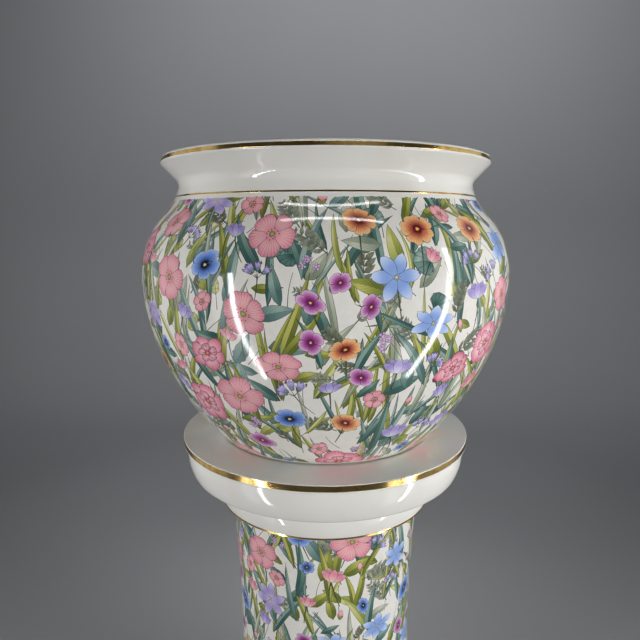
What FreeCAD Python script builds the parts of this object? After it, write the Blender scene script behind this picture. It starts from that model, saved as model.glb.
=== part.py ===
"""Jardiniere on stand: a footed fish-bowl planter of glazed porcelain on a turned pedestal.

Units are millimetres, +Z is up, and the origin is on the floor at the centre of the stand.
Every piece is turned about Z. The stand is built up from a top disc, a capital, a waisted
column, a base and a plinth, bedded on each other, and the bowl lies loose on a felt mat.
Transfer prints and gilding are thin skins of their own on the pieces that carry them.
"""

import FreeCAD, Part
import math
import os

import Sketcher

SHEET_NAME = "dim"

# Driving dimensions: name, value in millimetres, or in degrees or a count where the words say so.
SIZES = (
    # The stand as a whole.
    ("stand_height", 570.0, "floor to the top of the stand's disc"),
    ("pad_thickness", 2.0, "felt pads under the plinth"),
    ("pad_radius", 16.0, "radius of one felt pad"),
    ("pad_count", 4.0, "how many pads (a count)"),
    # The top disc and the plinth, both plain turned slabs.
    ("disc_radius", 188.9, "outer radius of the top disc"),
    ("disc_thickness", 9.7, "height of the top disc's edge"),
    ("disc_edge_round", 0.9, "rounding of the disc's edges"),
    ("plinth_spread", 6.1, "how far the plinth stands out beyond the top disc"),
    ("plinth_thickness", 14.0, "height of the plinth's edge"),
    ("plinth_opening_radius", 150.0, "radius of the opening through the plinth"),
    ("plinth_edge_round", 1.2, "rounding of the plinth's edges"),
    # The capital and the base: the same moulding, the base upside down.
    ("swell_setback", 5.1, "from the disc's edge in to the moulding's largest radius"),
    ("swell_drop", 13.8, "from the moulding's wide end to its largest radius"),
    ("swell_side_curve", 52.0, "radius of the moulding's side"),
    ("swell_corner_curve", 8.0, "radius where the side turns under"),
    ("swell_height", 40.5, "height of the quarter-round moulding"),
    ("ring_height", 41.8, "height of the ring beyond the moulding"),
    ("ring_radius", 141.1, "radius of the ring at its gilded lip"),
    ("ring_root_inset", 0.7, "how much narrower the ring is where it leaves the moulding"),
    ("ring_curve", 66.0, "radius of the ring's swelling side"),
    ("ring_lip_height", 3.6, "height of the plain lip that carries the gilding"),
    ("moulding_wall", 14.0, "wall of the hollow moulding at its side"),
    ("moulding_floor", 11.0, "wall of the hollow moulding at its turned-under face"),
    # The column.
    ("column_end_radius", 126.9, "radius of the column at both ends"),
    ("column_waist_radius", 118.4, "radius of the column at its waist"),
    ("column_wall", 9.4, "wall of the column at its waist"),
    ("joint_shoulder", 9.0, "width of the shoulder round each spigot"),
    ("spigot_length", 22.0, "how far a spigot enters the ring"),
    ("spigot_clearance", 0.8, "gap round a spigot"),
    ("bed_thickness", 2.0, "bed of cement between column and ring"),
    ("bed_setback", 1.2, "how far the bed stops short of the column's edge"),
    # The felt mat under the bowl.
    ("mat_thickness", 1.5, "felt mat between stand and bowl"),
    ("mat_setback", 4.4, "how far the mat stops short of the bowl's foot edge"),
    # The bowl's outer curve; heights are from the bowl's own foot.
    ("foot_radius", 138.4, "where the bowl's side meets its resting face"),
    ("belly_radius", 229.9, "largest radius of the bowl"),
    ("belly_height", 202.8, "height of the largest radius"),
    ("belly_curve", 225.7, "profile radius at the belly"),
    ("lower_blend_drop", 63.1, "from the belly down to where the lower side's curve starts"),
    ("shoulder_blend_rise", 12.8, "from the belly up to where the shoulder's curve starts"),
    ("throat_curve", 75.0, "profile radius of the hollow above the shoulder"),
    ("neck_radius", 182.7, "smallest radius of the neck"),
    ("neck_height", 313.0, "height of the smallest neck radius"),
    ("neck_curve", 13.0, "profile radius of the neck"),
    ("neck_blend_drop", 4.1, "from the smallest radius down to where the throat's curve ends"),
    ("flare_spread", 18.5, "how far the flared collar spreads beyond the neck"),
    ("flare_rise", 24.2, "from the smallest neck radius up to the end of the flare"),
    ("lip_overhang", 1.4, "how far the lip stands out beyond the flare"),
    ("lip_edge_rise", 2.7, "from the end of the flare up to the lip's upright face"),
    ("lip_edge_curve", 3.6, "profile radius between collar and lip"),
    ("lip_lean", 0.9, "how far the lip's face leans in towards its top"),
    ("lip_face_height", 4.7, "height of the lip's upright face"),
    ("lip_roll_drop", 0.7, "how far the centre of the rolled top lies below the lip's face"),
    # The bowl's wall, floor and foot.
    ("bowl_wall", 9.0, "wall of the bowl"),
    ("bowl_floor", 11.0, "thickness of the bowl's floor"),
    ("floor_curve", 34.0, "profile radius inside, between floor and wall"),
    ("foot_edge_round", 2.5, "rounding of the bowl's outer foot edge"),
    ("foot_ring_width", 15.0, "width of the foot ring's resting face"),
    ("foot_recess", 4.0, "depth of the recess inside the foot ring"),
    # Prints and gilding.
    ("print_thickness", 0.4, "skin that carries a transfer print"),
    ("skin_clearance", 0.3, "gap between a curved skin and the bowl's wall"),
    ("bowl_print_bottom", 5.0, "lower edge of the bowl's print, from its foot"),
    ("bowl_print_gap", 5.0, "from the middle of the neck's gilding down to the bowl's print"),
    ("column_print_margin", 1.5, "bare strip at each end of the column's print"),
    ("gilding_thickness", 0.5, "skin that carries gilding"),
    ("neck_gilding_drop", 12.8, "from the smallest neck radius down to the gilded line's middle"),
    ("neck_gilding_width", 1.9, "width of the gilded line at the neck"),
    ("lip_gilding_margin", 0.3, "bare strip above and below the gilding on the lip's face"),
    ("disc_gilding_width", 6.8, "width of the gilded band on the disc and the plinth"),
    ("ring_gilding_width", 3.2, "width of the gilded line on each ring's lip"),
)

# Places and sizes that follow from the driving dimensions, as expressions on the sheet.
PLINTH_RADIUS = "(dim.disc_radius + dim.plinth_spread)"
PAD_CIRCLE_RADIUS = f"(({PLINTH_RADIUS} + dim.plinth_opening_radius) / 2)"
PLINTH_BOTTOM = "dim.pad_thickness"
PLINTH_TOP = "(dim.pad_thickness + dim.plinth_thickness)"
DISC_BOTTOM = "(dim.stand_height - dim.disc_thickness)"
SWELL_RADIUS = "(dim.disc_radius - dim.swell_setback)"
RING_ROOT_RADIUS = "(dim.ring_radius - dim.ring_root_inset)"
MOULDING_HEIGHT = "(dim.swell_height + dim.ring_height)"
CAPITAL_BOTTOM = f"({DISC_BOTTOM} - {MOULDING_HEIGHT})"
BASE_TOP = f"({PLINTH_TOP} + {MOULDING_HEIGHT})"
COLUMN_TOP = f"({CAPITAL_BOTTOM} - dim.bed_thickness)"
COLUMN_BOTTOM = f"({BASE_TOP} + dim.bed_thickness)"
COLUMN_HALF = f"(({COLUMN_TOP} - {COLUMN_BOTTOM}) / 2)"
WAIST_DEPTH = "(dim.column_end_radius - dim.column_waist_radius)"
COLUMN_CURVE = f"(({COLUMN_HALF} ^ 2 + {WAIST_DEPTH} ^ 2) / (2 * {WAIST_DEPTH}))"
COLUMN_CENTRE_X = f"(dim.column_waist_radius + {COLUMN_CURVE})"
SPIGOT_RADIUS = "(dim.column_end_radius - dim.joint_shoulder)"
SOCKET_RADIUS = f"({SPIGOT_RADIUS} + dim.spigot_clearance)"
COLUMN_BORE = "(dim.column_waist_radius - dim.column_wall)"
MAT_TOP = "(dim.stand_height + dim.mat_thickness)"
FLARE_RADIUS = "(dim.neck_radius + dim.flare_spread)"
FLARE_HEIGHT = "(dim.neck_height + dim.flare_rise)"
LIP_RADIUS = f"({FLARE_RADIUS} + dim.lip_overhang)"
LIP_TOP_RADIUS = f"({LIP_RADIUS} - dim.lip_lean)"
LIP_EDGE_HEIGHT = f"({FLARE_HEIGHT} + dim.lip_edge_rise)"
LIP_FACE_TOP = f"({LIP_EDGE_HEIGHT} + dim.lip_face_height)"
NECK_GILDING_HEIGHT = "(dim.neck_height - dim.neck_gilding_drop)"
BOWL_PRINT_TOP = f"({NECK_GILDING_HEIGHT} - dim.bowl_print_gap)"
RECESS_TOP = f"({MAT_TOP} + dim.foot_recess)"
INSIDE_FLOOR = f"({RECESS_TOP} + dim.bowl_floor)"

FULL_TURN = 360.0  # degrees
CENTRE_INDEX = 3  # the place of an arc's centre in a constraint
RIM_TOLERANCE = 1e-4


def make_sheet(document):
    """The spreadsheet of driving dimensions: names in column A, values in B, words in C."""
    sheet = document.addObject("Spreadsheet::Sheet", SHEET_NAME)
    for row, (name, value, words) in enumerate(SIZES, start=1):
        sheet.set(f"A{row}", name)
        sheet.set(f"B{row}", str(value))
        sheet.setAlias(f"B{row}", name)
        sheet.set(f"C{row}", words)
    document.recompute()
    return sheet


document = FreeCAD.newDocument("jardiniere_on_stand")
sheet = make_sheet(document)
pieces = []


def value(expression):
    """The number that an expression on the sheet stands for."""
    return float(sheet.evalExpression(expression))


def polar(centre, radius, angle):
    return (centre[0] + radius * math.cos(angle), centre[1] + radius * math.sin(angle))


def bearing(centre, point):
    return math.atan2(point[1] - centre[1], point[0] - centre[0])


def between(start, end, share):
    return (start[0] + (end[0] - start[0]) * share, start[1] + (end[1] - start[1]) * share)


class Edge:
    """One line or arc of an outline: its number in the sketch and its two ends."""

    def __init__(self, number, start, end):
        self.number = number
        self.start = start
        self.end = end


class Outline:
    """A sketch in the XZ plane whose edges are tied to the sheet by named constraints."""

    def __init__(self, sketch):
        self.sketch = sketch
        self.names = {}

    def line(self, start, end):
        segment = Part.LineSegment(FreeCAD.Vector(*start, 0), FreeCAD.Vector(*end, 0))
        return Edge(self.sketch.addGeometry(segment, False), 1, 2)

    def arc(self, centre, radius, start_angle, end_angle):
        """An arc from one angle to the other the short way round, as its start and its end."""
        circle = Part.Circle(FreeCAD.Vector(*centre, 0), FreeCAD.Vector(0, 0, 1), radius)
        if end_angle > start_angle:
            part = Part.ArcOfCircle(circle, start_angle, end_angle)
            return Edge(self.sketch.addGeometry(part, False), 1, 2)
        part = Part.ArcOfCircle(circle, end_angle, start_angle)
        return Edge(self.sketch.addGeometry(part, False), 2, 1)

    def arc_between(self, start, end, radius, centre_side):
        """An arc of given radius between two points, its centre left (1) or right (-1) of the way."""
        half = math.dist(start, end) / 2
        middle = between(start, end, 0.5)
        unit = ((end[0] - start[0]) / (2 * half), (end[1] - start[1]) / (2 * half))
        rise = math.sqrt(radius ** 2 - half ** 2) * centre_side
        centre = (middle[0] - unit[1] * rise, middle[1] + unit[0] * rise)
        start_angle = bearing(centre, start)
        end_angle = bearing(centre, end)
        turn = (end_angle - start_angle + math.pi) % (2 * math.pi) - math.pi
        return self.arc(centre, radius, start_angle, start_angle + turn)

    def meet(self, first, second):
        """The end of one edge lies on the start of the next."""
        self.sketch.addConstraint(
            Sketcher.Constraint("Coincident", first.number, first.end, second.number, second.start)
        )

    def flow(self, first, second):
        """The end of one edge runs smoothly into the start of the next."""
        self.sketch.addConstraint(
            Sketcher.Constraint("Tangent", first.number, first.end, second.number, second.start)
        )

    def bind(self, kind, places, expression, name):
        """A measured constraint with a name, bound to an expression on the sheet."""
        count = self.names.get(name, 0) + 1
        self.names[name] = count
        label = name if count == 1 else f"{name}_{count}"
        number = self.sketch.addConstraint(
            Sketcher.Constraint(kind, *places, value(expression))
        )
        self.sketch.renameConstraint(number, label)
        self.sketch.setExpression(f"Constraints.{label}", expression)

    def reach(self, edge, end, expression, name):
        """How far a point of an edge is from the axis."""
        self.bind("DistanceX", (edge.number, end), expression, name)

    def height(self, edge, end, expression, name):
        """How high a point of an edge lies."""
        self.bind("DistanceY", (edge.number, end), expression, name)

    def radius(self, edge, expression, name):
        self.bind("Radius", (edge.number,), expression, name)

    def loop(self, corners, name, arcs=None):
        """A closed outline through corners given as pairs of expressions.

        arcs gives, for the number of an edge, its radius as an expression and the side of its
        centre; all other edges are straight.
        """
        arcs = arcs or {}
        points = [(value(across), value(up)) for across, up in corners]
        edges = []
        for number, start in enumerate(points):
            end = points[(number + 1) % len(points)]
            if number in arcs:
                expression, side = arcs[number]
                edge = self.arc_between(start, end, value(expression), side)
                edges.append(edge)
            else:
                edges.append(self.line(start, end))
        for number, edge in enumerate(edges):
            self.meet(edge, edges[(number + 1) % len(edges)])
        for number, (across, up) in enumerate(corners):
            self.reach(edges[number], edges[number].start, across, f"{name}_reach")
            self.height(edges[number], edges[number].start, up, f"{name}_height")
        for number, (expression, side) in arcs.items():
            self.radius(edges[number], expression, f"{name}_curve")


def plane_of(body, role):
    for feature in body.Origin.OriginFeatures:
        if feature.Role == role:
            return feature
    raise ValueError(f"{body.Label} has no plane {role}")


def new_outline(body, label):
    sketch = body.newObject("Sketcher::SketchObject", label)
    sketch.AttachmentSupport = [(plane_of(body, "XZ_Plane"), "")]
    sketch.MapMode = "FlatFace"
    return Outline(sketch)


def new_piece(label):
    body = document.addObject("PartDesign::Body", label)
    body.Label = label
    pieces.append(body)
    return body


def turn(body, outline):
    """Turn an outline once about the body's vertical axis."""
    feature = body.newObject("PartDesign::Revolution", f"{body.Label}_turned")
    feature.Profile = outline.sketch
    feature.ReferenceAxis = (outline.sketch, ["V_Axis"])
    feature.Angle = FULL_TURN
    document.recompute()
    return feature


def turned_piece(label, corners, arcs=None):
    """A piece turned from one closed outline."""
    body = new_piece(label)
    outline = new_outline(body, f"{label}_outline")
    outline.loop(corners, "corner", arcs)
    turn(body, outline)
    return body


def round_rims(body, rims, expression):
    """Round the circular edges of a turned piece that lie at the given reaches and heights."""
    base = body.Tip
    places = [(value(across), value(up)) for across, up in rims]
    names = []
    for number, edge in enumerate(base.Shape.Edges, start=1):
        if edge.Curve.TypeId != "Part::GeomCircle":
            continue
        found = (edge.Curve.Radius, edge.Curve.Center.z)
        if any(math.dist(found, place) < RIM_TOLERANCE for place in places):
            names.append(f"Edge{number}")
    if len(names) != len(rims):
        raise ValueError(f"{body.Label}: {len(names)} of {len(rims)} rims found")
    fillet = body.newObject("PartDesign::Fillet", f"{body.Label}_rounding")
    fillet.Base = (base, names)
    fillet.setExpression("Radius", expression)
    document.recompute()


def ring_corners(inner, outer, low, high):
    return [(inner, low), (outer, low), (outer, high), (inner, high)]


# The stand.


def make_foot_pads():
    body = new_piece("foot_pads")
    sketch = body.newObject("Sketcher::SketchObject", "foot_pad_outline")
    sketch.AttachmentSupport = [(plane_of(body, "XY_Plane"), "")]
    sketch.MapMode = "FlatFace"
    place = FreeCAD.Vector(value(PAD_CIRCLE_RADIUS), 0, 0)
    circle = Part.Circle(place, FreeCAD.Vector(0, 0, 1), value("dim.pad_radius"))
    outline = Outline(sketch)
    pad_circle = sketch.addGeometry(circle, False)
    sketch.addConstraint(Sketcher.Constraint("PointOnObject", pad_circle, CENTRE_INDEX, -1))
    outline.bind("DistanceX", (pad_circle, CENTRE_INDEX), PAD_CIRCLE_RADIUS, "pad_circle_radius")
    outline.bind("Radius", (pad_circle,), "dim.pad_radius", "pad_radius")
    pad = body.newObject("PartDesign::Pad", "foot_pad")
    pad.Profile = sketch
    pad.setExpression("Length", "dim.pad_thickness")
    document.recompute()
    pattern = body.newObject("PartDesign::PolarPattern", "foot_pad_pattern")
    pattern.Originals = [pad]
    pattern.Axis = (sketch, ["N_Axis"])
    pattern.Angle = FULL_TURN
    pattern.setExpression("Occurrences", "dim.pad_count")
    body.Tip = pattern
    document.recompute()


def make_plinth():
    body = turned_piece(
        "stand_plinth",
        ring_corners("dim.plinth_opening_radius", PLINTH_RADIUS, PLINTH_BOTTOM, PLINTH_TOP),
    )
    rims = [(PLINTH_RADIUS, PLINTH_BOTTOM), (PLINTH_RADIUS, PLINTH_TOP)]
    round_rims(body, rims, "dim.plinth_edge_round")


def make_top_disc():
    body = turned_piece(
        "stand_top_disc",
        ring_corners("0", "dim.disc_radius", DISC_BOTTOM, "dim.stand_height"),
    )
    rims = [("dim.disc_radius", DISC_BOTTOM), ("dim.disc_radius", "dim.stand_height")]
    round_rims(body, rims, "dim.disc_edge_round")


def make_moulding(label, wide_end, sense):
    """The hollow quarter-round moulding and its ring, which starts at the slab it joins.

    wide_end is the height of that slab's face, and sense is -1 where the moulding hangs down
    from it and 1 where it stands up.
    """
    def at(distance):
        return f"({wide_end} {'+' if sense > 0 else '-'} ({distance}))"

    under = at("dim.swell_height")
    lip_start = at("dim.swell_height + dim.ring_height - dim.ring_lip_height")
    narrow_end = at("dim.swell_height + dim.ring_height")
    hollow_floor = at("dim.swell_height - dim.moulding_floor")
    hollow_radius = f"({SWELL_RADIUS} - dim.moulding_wall)"

    body = new_piece(label)
    outline = new_outline(body, f"{label}_outline")

    side_curve = value("dim.swell_side_curve")
    corner_curve = value("dim.swell_corner_curve")
    side_centre = (value(SWELL_RADIUS) - side_curve, value(at("dim.swell_drop")))
    corner_up = value(at("dim.swell_height - dim.swell_corner_curve"))
    rise = corner_up - side_centre[1]
    corner_centre = (
        side_centre[0] + math.sqrt((side_curve - corner_curve) ** 2 - rise ** 2),
        corner_up,
    )
    wide_up = value(wide_end)
    wide_angle = math.asin((wide_up - side_centre[1]) / side_curve)
    blend_angle = bearing(side_centre, corner_centre)
    under_point = (corner_centre[0], value(under))
    root = (value(RING_ROOT_RADIUS), value(under))
    lip_low = (value("dim.ring_radius"), value(lip_start))
    lip_high = (value("dim.ring_radius"), value(narrow_end))
    socket_low = (value(SOCKET_RADIUS), value(narrow_end))
    socket_high = (value(SOCKET_RADIUS), value(hollow_floor))
    hollow_low = (value(hollow_radius), value(hollow_floor))
    hollow_high = (value(hollow_radius), wide_up)

    side = outline.arc(side_centre, side_curve, wide_angle, blend_angle)
    corner = outline.arc(corner_centre, corner_curve, blend_angle, sense * math.pi / 2)
    under_face = outline.line(under_point, root)
    ring_side = outline.arc_between(root, lip_low, value("dim.ring_curve"), sense)
    lip = outline.line(lip_low, lip_high)
    end_face = outline.line(lip_high, socket_low)
    socket = outline.line(socket_low, socket_high)
    floor = outline.line(socket_high, hollow_low)
    hollow = outline.line(hollow_low, hollow_high)
    top_face = outline.line(hollow_high, polar(side_centre, side_curve, wide_angle))

    outline.flow(side, corner)
    outline.flow(corner, under_face)
    edges = [under_face, ring_side, lip, end_face, socket, floor, hollow, top_face, side]
    for first, second in zip(edges, edges[1:]):
        outline.meet(first, second)
    outline.reach(side, CENTRE_INDEX, f"{SWELL_RADIUS} - dim.swell_side_curve", "swell_centre_reach")
    outline.height(side, CENTRE_INDEX, at("dim.swell_drop"), "swell_centre_height")
    outline.radius(side, "dim.swell_side_curve", "swell_side_curve")
    outline.height(side, side.start, wide_end, "wide_end_height")
    outline.radius(corner, "dim.swell_corner_curve", "swell_corner_curve")
    outline.reach(ring_side, ring_side.start, RING_ROOT_RADIUS, "ring_root")
    outline.height(under_face, under_face.end, under, "under_face_height")
    outline.sketch.addConstraint(Sketcher.Constraint("Horizontal", under_face.number))
    outline.radius(ring_side, "dim.ring_curve", "ring_curve")
    outline.reach(lip, lip.start, "dim.ring_radius", "lip_start_reach")
    outline.height(lip, lip.start, lip_start, "lip_start_height")
    outline.reach(lip, lip.end, "dim.ring_radius", "lip_end_reach")
    outline.height(lip, lip.end, narrow_end, "lip_end_height")
    outline.reach(socket, socket.start, SOCKET_RADIUS, "socket_start_reach")
    outline.height(socket, socket.start, narrow_end, "socket_start_height")
    outline.reach(socket, socket.end, SOCKET_RADIUS, "socket_end_reach")
    outline.height(socket, socket.end, hollow_floor, "socket_end_height")
    outline.reach(hollow, hollow.start, hollow_radius, "hollow_start_reach")
    outline.height(hollow, hollow.start, hollow_floor, "hollow_start_height")
    outline.reach(hollow, hollow.end, hollow_radius, "hollow_end_reach")
    outline.height(hollow, hollow.end, wide_end, "hollow_end_height")
    turn(body, outline)


def make_column():
    """The waisted column with a spigot at each end and a straight bore."""
    upper_tip = f"({COLUMN_TOP} + dim.bed_thickness + dim.spigot_length)"
    lower_tip = f"({COLUMN_BOTTOM} - dim.bed_thickness - dim.spigot_length)"
    corners = [
        (SPIGOT_RADIUS, upper_tip),
        (SPIGOT_RADIUS, COLUMN_TOP),
        ("dim.column_end_radius", COLUMN_TOP),
        ("dim.column_end_radius", COLUMN_BOTTOM),
        (SPIGOT_RADIUS, COLUMN_BOTTOM),
        (SPIGOT_RADIUS, lower_tip),
        (COLUMN_BORE, lower_tip),
        (COLUMN_BORE, upper_tip),
    ]
    turned_piece("stand_column", corners, {2: (COLUMN_CURVE, 1)})


def make_column_print():
    """The printed skin that follows the column's waist."""
    top = f"({COLUMN_TOP} - dim.column_print_margin)"
    bottom = f"({COLUMN_BOTTOM} + dim.column_print_margin)"
    half = f"({COLUMN_HALF} - dim.column_print_margin)"
    outer_curve = f"({COLUMN_CURVE} - dim.print_thickness)"
    under = f"({COLUMN_CENTRE_X} - sqrt({COLUMN_CURVE} ^ 2 - {half} ^ 2))"
    over = f"({COLUMN_CENTRE_X} - sqrt({outer_curve} ^ 2 - {half} ^ 2))"
    corners = [(under, top), (over, top), (over, bottom), (under, bottom)]
    turned_piece("column_print", corners, {1: (outer_curve, 1), 3: (COLUMN_CURVE, -1)})


def make_joint_beds():
    for label, low in (("upper_joint_bed", COLUMN_TOP), ("lower_joint_bed", BASE_TOP)):
        turned_piece(
            label,
            ring_corners(
                SOCKET_RADIUS,
                "(dim.column_end_radius - dim.bed_setback)",
                low,
                f"({low} + dim.bed_thickness)",
            ),
        )


def band(label, inner, low, high):
    """A gilded skin on an upright face."""
    return turned_piece(label, ring_corners(inner, f"({inner} + dim.gilding_thickness)", low, high))


def make_stand_gilding():
    disc_top = "(dim.stand_height - dim.disc_edge_round)"
    band(
        "top_disc_gilding",
        "dim.disc_radius",
        f"({disc_top} - dim.disc_gilding_width)",
        disc_top,
    )
    plinth_top = f"({PLINTH_TOP} - dim.plinth_edge_round)"
    band(
        "plinth_gilding",
        PLINTH_RADIUS,
        f"({plinth_top} - dim.disc_gilding_width)",
        plinth_top,
    )
    band(
        "capital_ring_gilding",
        "dim.ring_radius",
        CAPITAL_BOTTOM,
        f"({CAPITAL_BOTTOM} + dim.ring_gilding_width)",
    )
    band(
        "base_ring_gilding",
        "dim.ring_radius",
        f"({BASE_TOP} - dim.ring_gilding_width)",
        BASE_TOP,
    )


def make_mat():
    turned_piece(
        "bowl_mat",
        ring_corners("0", "(dim.foot_radius - dim.mat_setback)", "dim.stand_height", MAT_TOP),
    )


# The bowl.


def above_mat(height):
    """A height above the bowl's foot, as a height above the floor."""
    return f"({MAT_TOP} + {height})"


class BowlCurve:
    """Where the arcs of the bowl's outer curve lie, worked out from the sheet.

    From the foot up: the lower side, the belly, the shoulder, the hollow throat, the neck,
    and the straight flare of the collar. Each arc is kept as its centre, its radius, its angles
    at the lower and the upper end, and 1 where it bulges outwards or -1 where it is hollow.
    """

    def __init__(self):
        foot_up = value(MAT_TOP)
        self.foot = (value("dim.foot_radius"), foot_up)
        belly_curve = value("dim.belly_curve")
        belly = (value("dim.belly_radius") - belly_curve, value(above_mat("dim.belly_height")))
        lower_angle = -math.asin(value("dim.lower_blend_drop") / belly_curve)
        upper_angle = math.asin(value("dim.shoulder_blend_rise") / belly_curve)
        lower_blend = polar(belly, belly_curve, lower_angle)
        upper_blend = polar(belly, belly_curve, upper_angle)
        across = self.foot[0] - lower_blend[0]
        down = self.foot[1] - lower_blend[1]
        towards = (-math.cos(lower_angle), -math.sin(lower_angle))
        lower_curve = (across ** 2 + down ** 2) / (2 * (across * towards[0] + down * towards[1]))
        lower = polar(lower_blend, -lower_curve, lower_angle)
        neck_curve = value("dim.neck_curve")
        neck = (value("dim.neck_radius") + neck_curve, value(above_mat("dim.neck_height")))
        throat_curve = value("dim.throat_curve")
        throat_end = math.pi + math.asin(value("dim.neck_blend_drop") / neck_curve)
        throat = polar(neck, neck_curve - throat_curve, throat_end)
        across = upper_blend[0] - throat[0]
        down = upper_blend[1] - throat[1]
        along = across * math.cos(upper_angle) + down * math.sin(upper_angle)
        shoulder_curve = (across ** 2 + down ** 2 - throat_curve ** 2) / (
            2 * (along + throat_curve)
        )
        shoulder = polar(upper_blend, -shoulder_curve, upper_angle)
        self.flare_end = (value(FLARE_RADIUS), value(above_mat(FLARE_HEIGHT)))
        reach = math.dist(neck, self.flare_end)
        flare_angle = bearing(neck, self.flare_end) + math.acos(neck_curve / reach)
        shoulder_end = bearing(shoulder, throat)
        self.arcs = {
            "lower": (lower, lower_curve, bearing(lower, self.foot), lower_angle, 1),
            "belly": (belly, belly_curve, lower_angle, upper_angle, 1),
            "shoulder": (shoulder, shoulder_curve, upper_angle, shoulder_end, 1),
            "throat": (throat, throat_curve, shoulder_end + math.pi, throat_end, -1),
            "neck": (neck, neck_curve, throat_end, flare_angle, -1),
        }

    def offset_arc(self, name, offset):
        """The arc's centre, its radius moved out by offset, and its lower and upper angle."""
        centre, radius, low, high, bulge = self.arcs[name]
        return centre, radius + bulge * offset, low, high


    def point_at(self, name, offset, up):
        """The point of an offset arc at a height."""
        centre, radius = self.offset_arc(name, offset)[:2]
        bulge = self.arcs[name][-1]
        return (centre[0] + bulge * math.sqrt(radius ** 2 - (up - centre[1]) ** 2), up)

    def arcs_between(self, low_up, high_up):
        """The names of the arcs that the curve runs through between two heights."""
        names = []
        for name in ARC_NAMES:
            centre, radius, low, high = self.offset_arc(name, 0)
            starts = polar(centre, radius, low)[1]
            ends = polar(centre, radius, high)[1]
            if starts < high_up and ends > low_up:
                names.append(name)
        return names


ARC_NAMES = ("lower", "belly", "shoulder", "throat", "neck")


def make_bowl_curve():
    """The bowl's outer curve as a sketch of its own, which the bowl and its skins follow."""
    curve = BowlCurve()
    sketch = document.addObject("Sketcher::SketchObject", "bowl_curve")
    sketch.Placement = FreeCAD.Placement(
        FreeCAD.Vector(0, 0, 0), FreeCAD.Rotation(FreeCAD.Vector(1, 0, 0), 90)
    )
    outline = Outline(sketch)
    arcs = {}
    for name in ARC_NAMES:
        arcs[name] = outline.arc(*curve.offset_arc(name, 0))
    centre, radius, low, high = curve.offset_arc("neck", 0)
    flare = outline.line(polar(centre, radius, high), curve.flare_end)
    for first, second in zip(ARC_NAMES, ARC_NAMES[1:]):
        outline.flow(arcs[first], arcs[second])
    outline.flow(arcs["neck"], flare)
    lower, belly = arcs["lower"], arcs["belly"]
    outline.reach(lower, lower.start, "dim.foot_radius", "foot_reach")
    outline.height(lower, lower.start, MAT_TOP, "foot_height")
    outline.reach(belly, CENTRE_INDEX, "dim.belly_radius - dim.belly_curve", "belly_centre_reach")
    outline.height(belly, CENTRE_INDEX, above_mat("dim.belly_height"), "belly_centre_height")
    outline.radius(belly, "dim.belly_curve", "belly_curve")
    lower_blend = above_mat("dim.belly_height - dim.lower_blend_drop")
    upper_blend = above_mat("dim.belly_height + dim.shoulder_blend_rise")
    neck_blend = above_mat("dim.neck_height - dim.neck_blend_drop")
    outline.height(belly, belly.start, lower_blend, "lower_blend")
    outline.height(belly, belly.end, upper_blend, "shoulder_blend")
    outline.radius(arcs["throat"], "dim.throat_curve", "throat_curve")
    outline.height(arcs["throat"], arcs["throat"].end, neck_blend, "neck_blend")
    outline.radius(arcs["neck"], "dim.neck_curve", "neck_curve")
    outline.reach(arcs["neck"], CENTRE_INDEX, "dim.neck_radius + dim.neck_curve", "neck_centre_reach")
    outline.height(arcs["neck"], CENTRE_INDEX, above_mat("dim.neck_height"), "neck_centre_height")
    outline.reach(flare, flare.end, FLARE_RADIUS, "flare_reach")
    outline.height(flare, flare.end, above_mat(FLARE_HEIGHT), "flare_height")
    for name in ARC_NAMES:
        centre, radius = curve.offset_arc(name, 0)[:2]
        number = arcs[name].number
        for word, kind, place, amount in (
            ("reach", "DistanceX", (number, CENTRE_INDEX), centre[0]),
            ("up", "DistanceY", (number, CENTRE_INDEX), centre[1]),
            ("radius", "Radius", (number,), radius),
        ):
            measure = sketch.addConstraint(Sketcher.Constraint(kind, *place, amount))
            sketch.renameConstraint(measure, f"{name}_{word}")
            sketch.setDriving(measure, False)
    document.recompute()
    return curve


def follow(outline, curve, names, offset):
    """Arcs that run beside the bowl's outer curve, moved out by an expression (in if negative).

    Their centres are those of the curve's own arcs. One of them takes its radius from the curve,
    and the others follow smoothly.
    """
    arcs = [outline.arc(*curve.offset_arc(name, value(offset))) for name in names]
    for name, arc in zip(names, arcs):
        outline.reach(arc, CENTRE_INDEX, f"bowl_curve.Constraints.{name}_reach", f"{name}_reach")
        outline.height(arc, CENTRE_INDEX, f"bowl_curve.Constraints.{name}_up", f"{name}_up")
    for first, second in zip(arcs, arcs[1:]):
        outline.flow(first, second)
    held = "belly" if "belly" in names else names[0]
    sign = "+" if curve.arcs[held][-1] > 0 else "-"
    radius = f"bowl_curve.Constraints.{held}_radius {sign} ({offset}) * 1 mm"
    outline.radius(arcs[names.index(held)], radius, f"{held}_radius")
    return arcs


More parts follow.
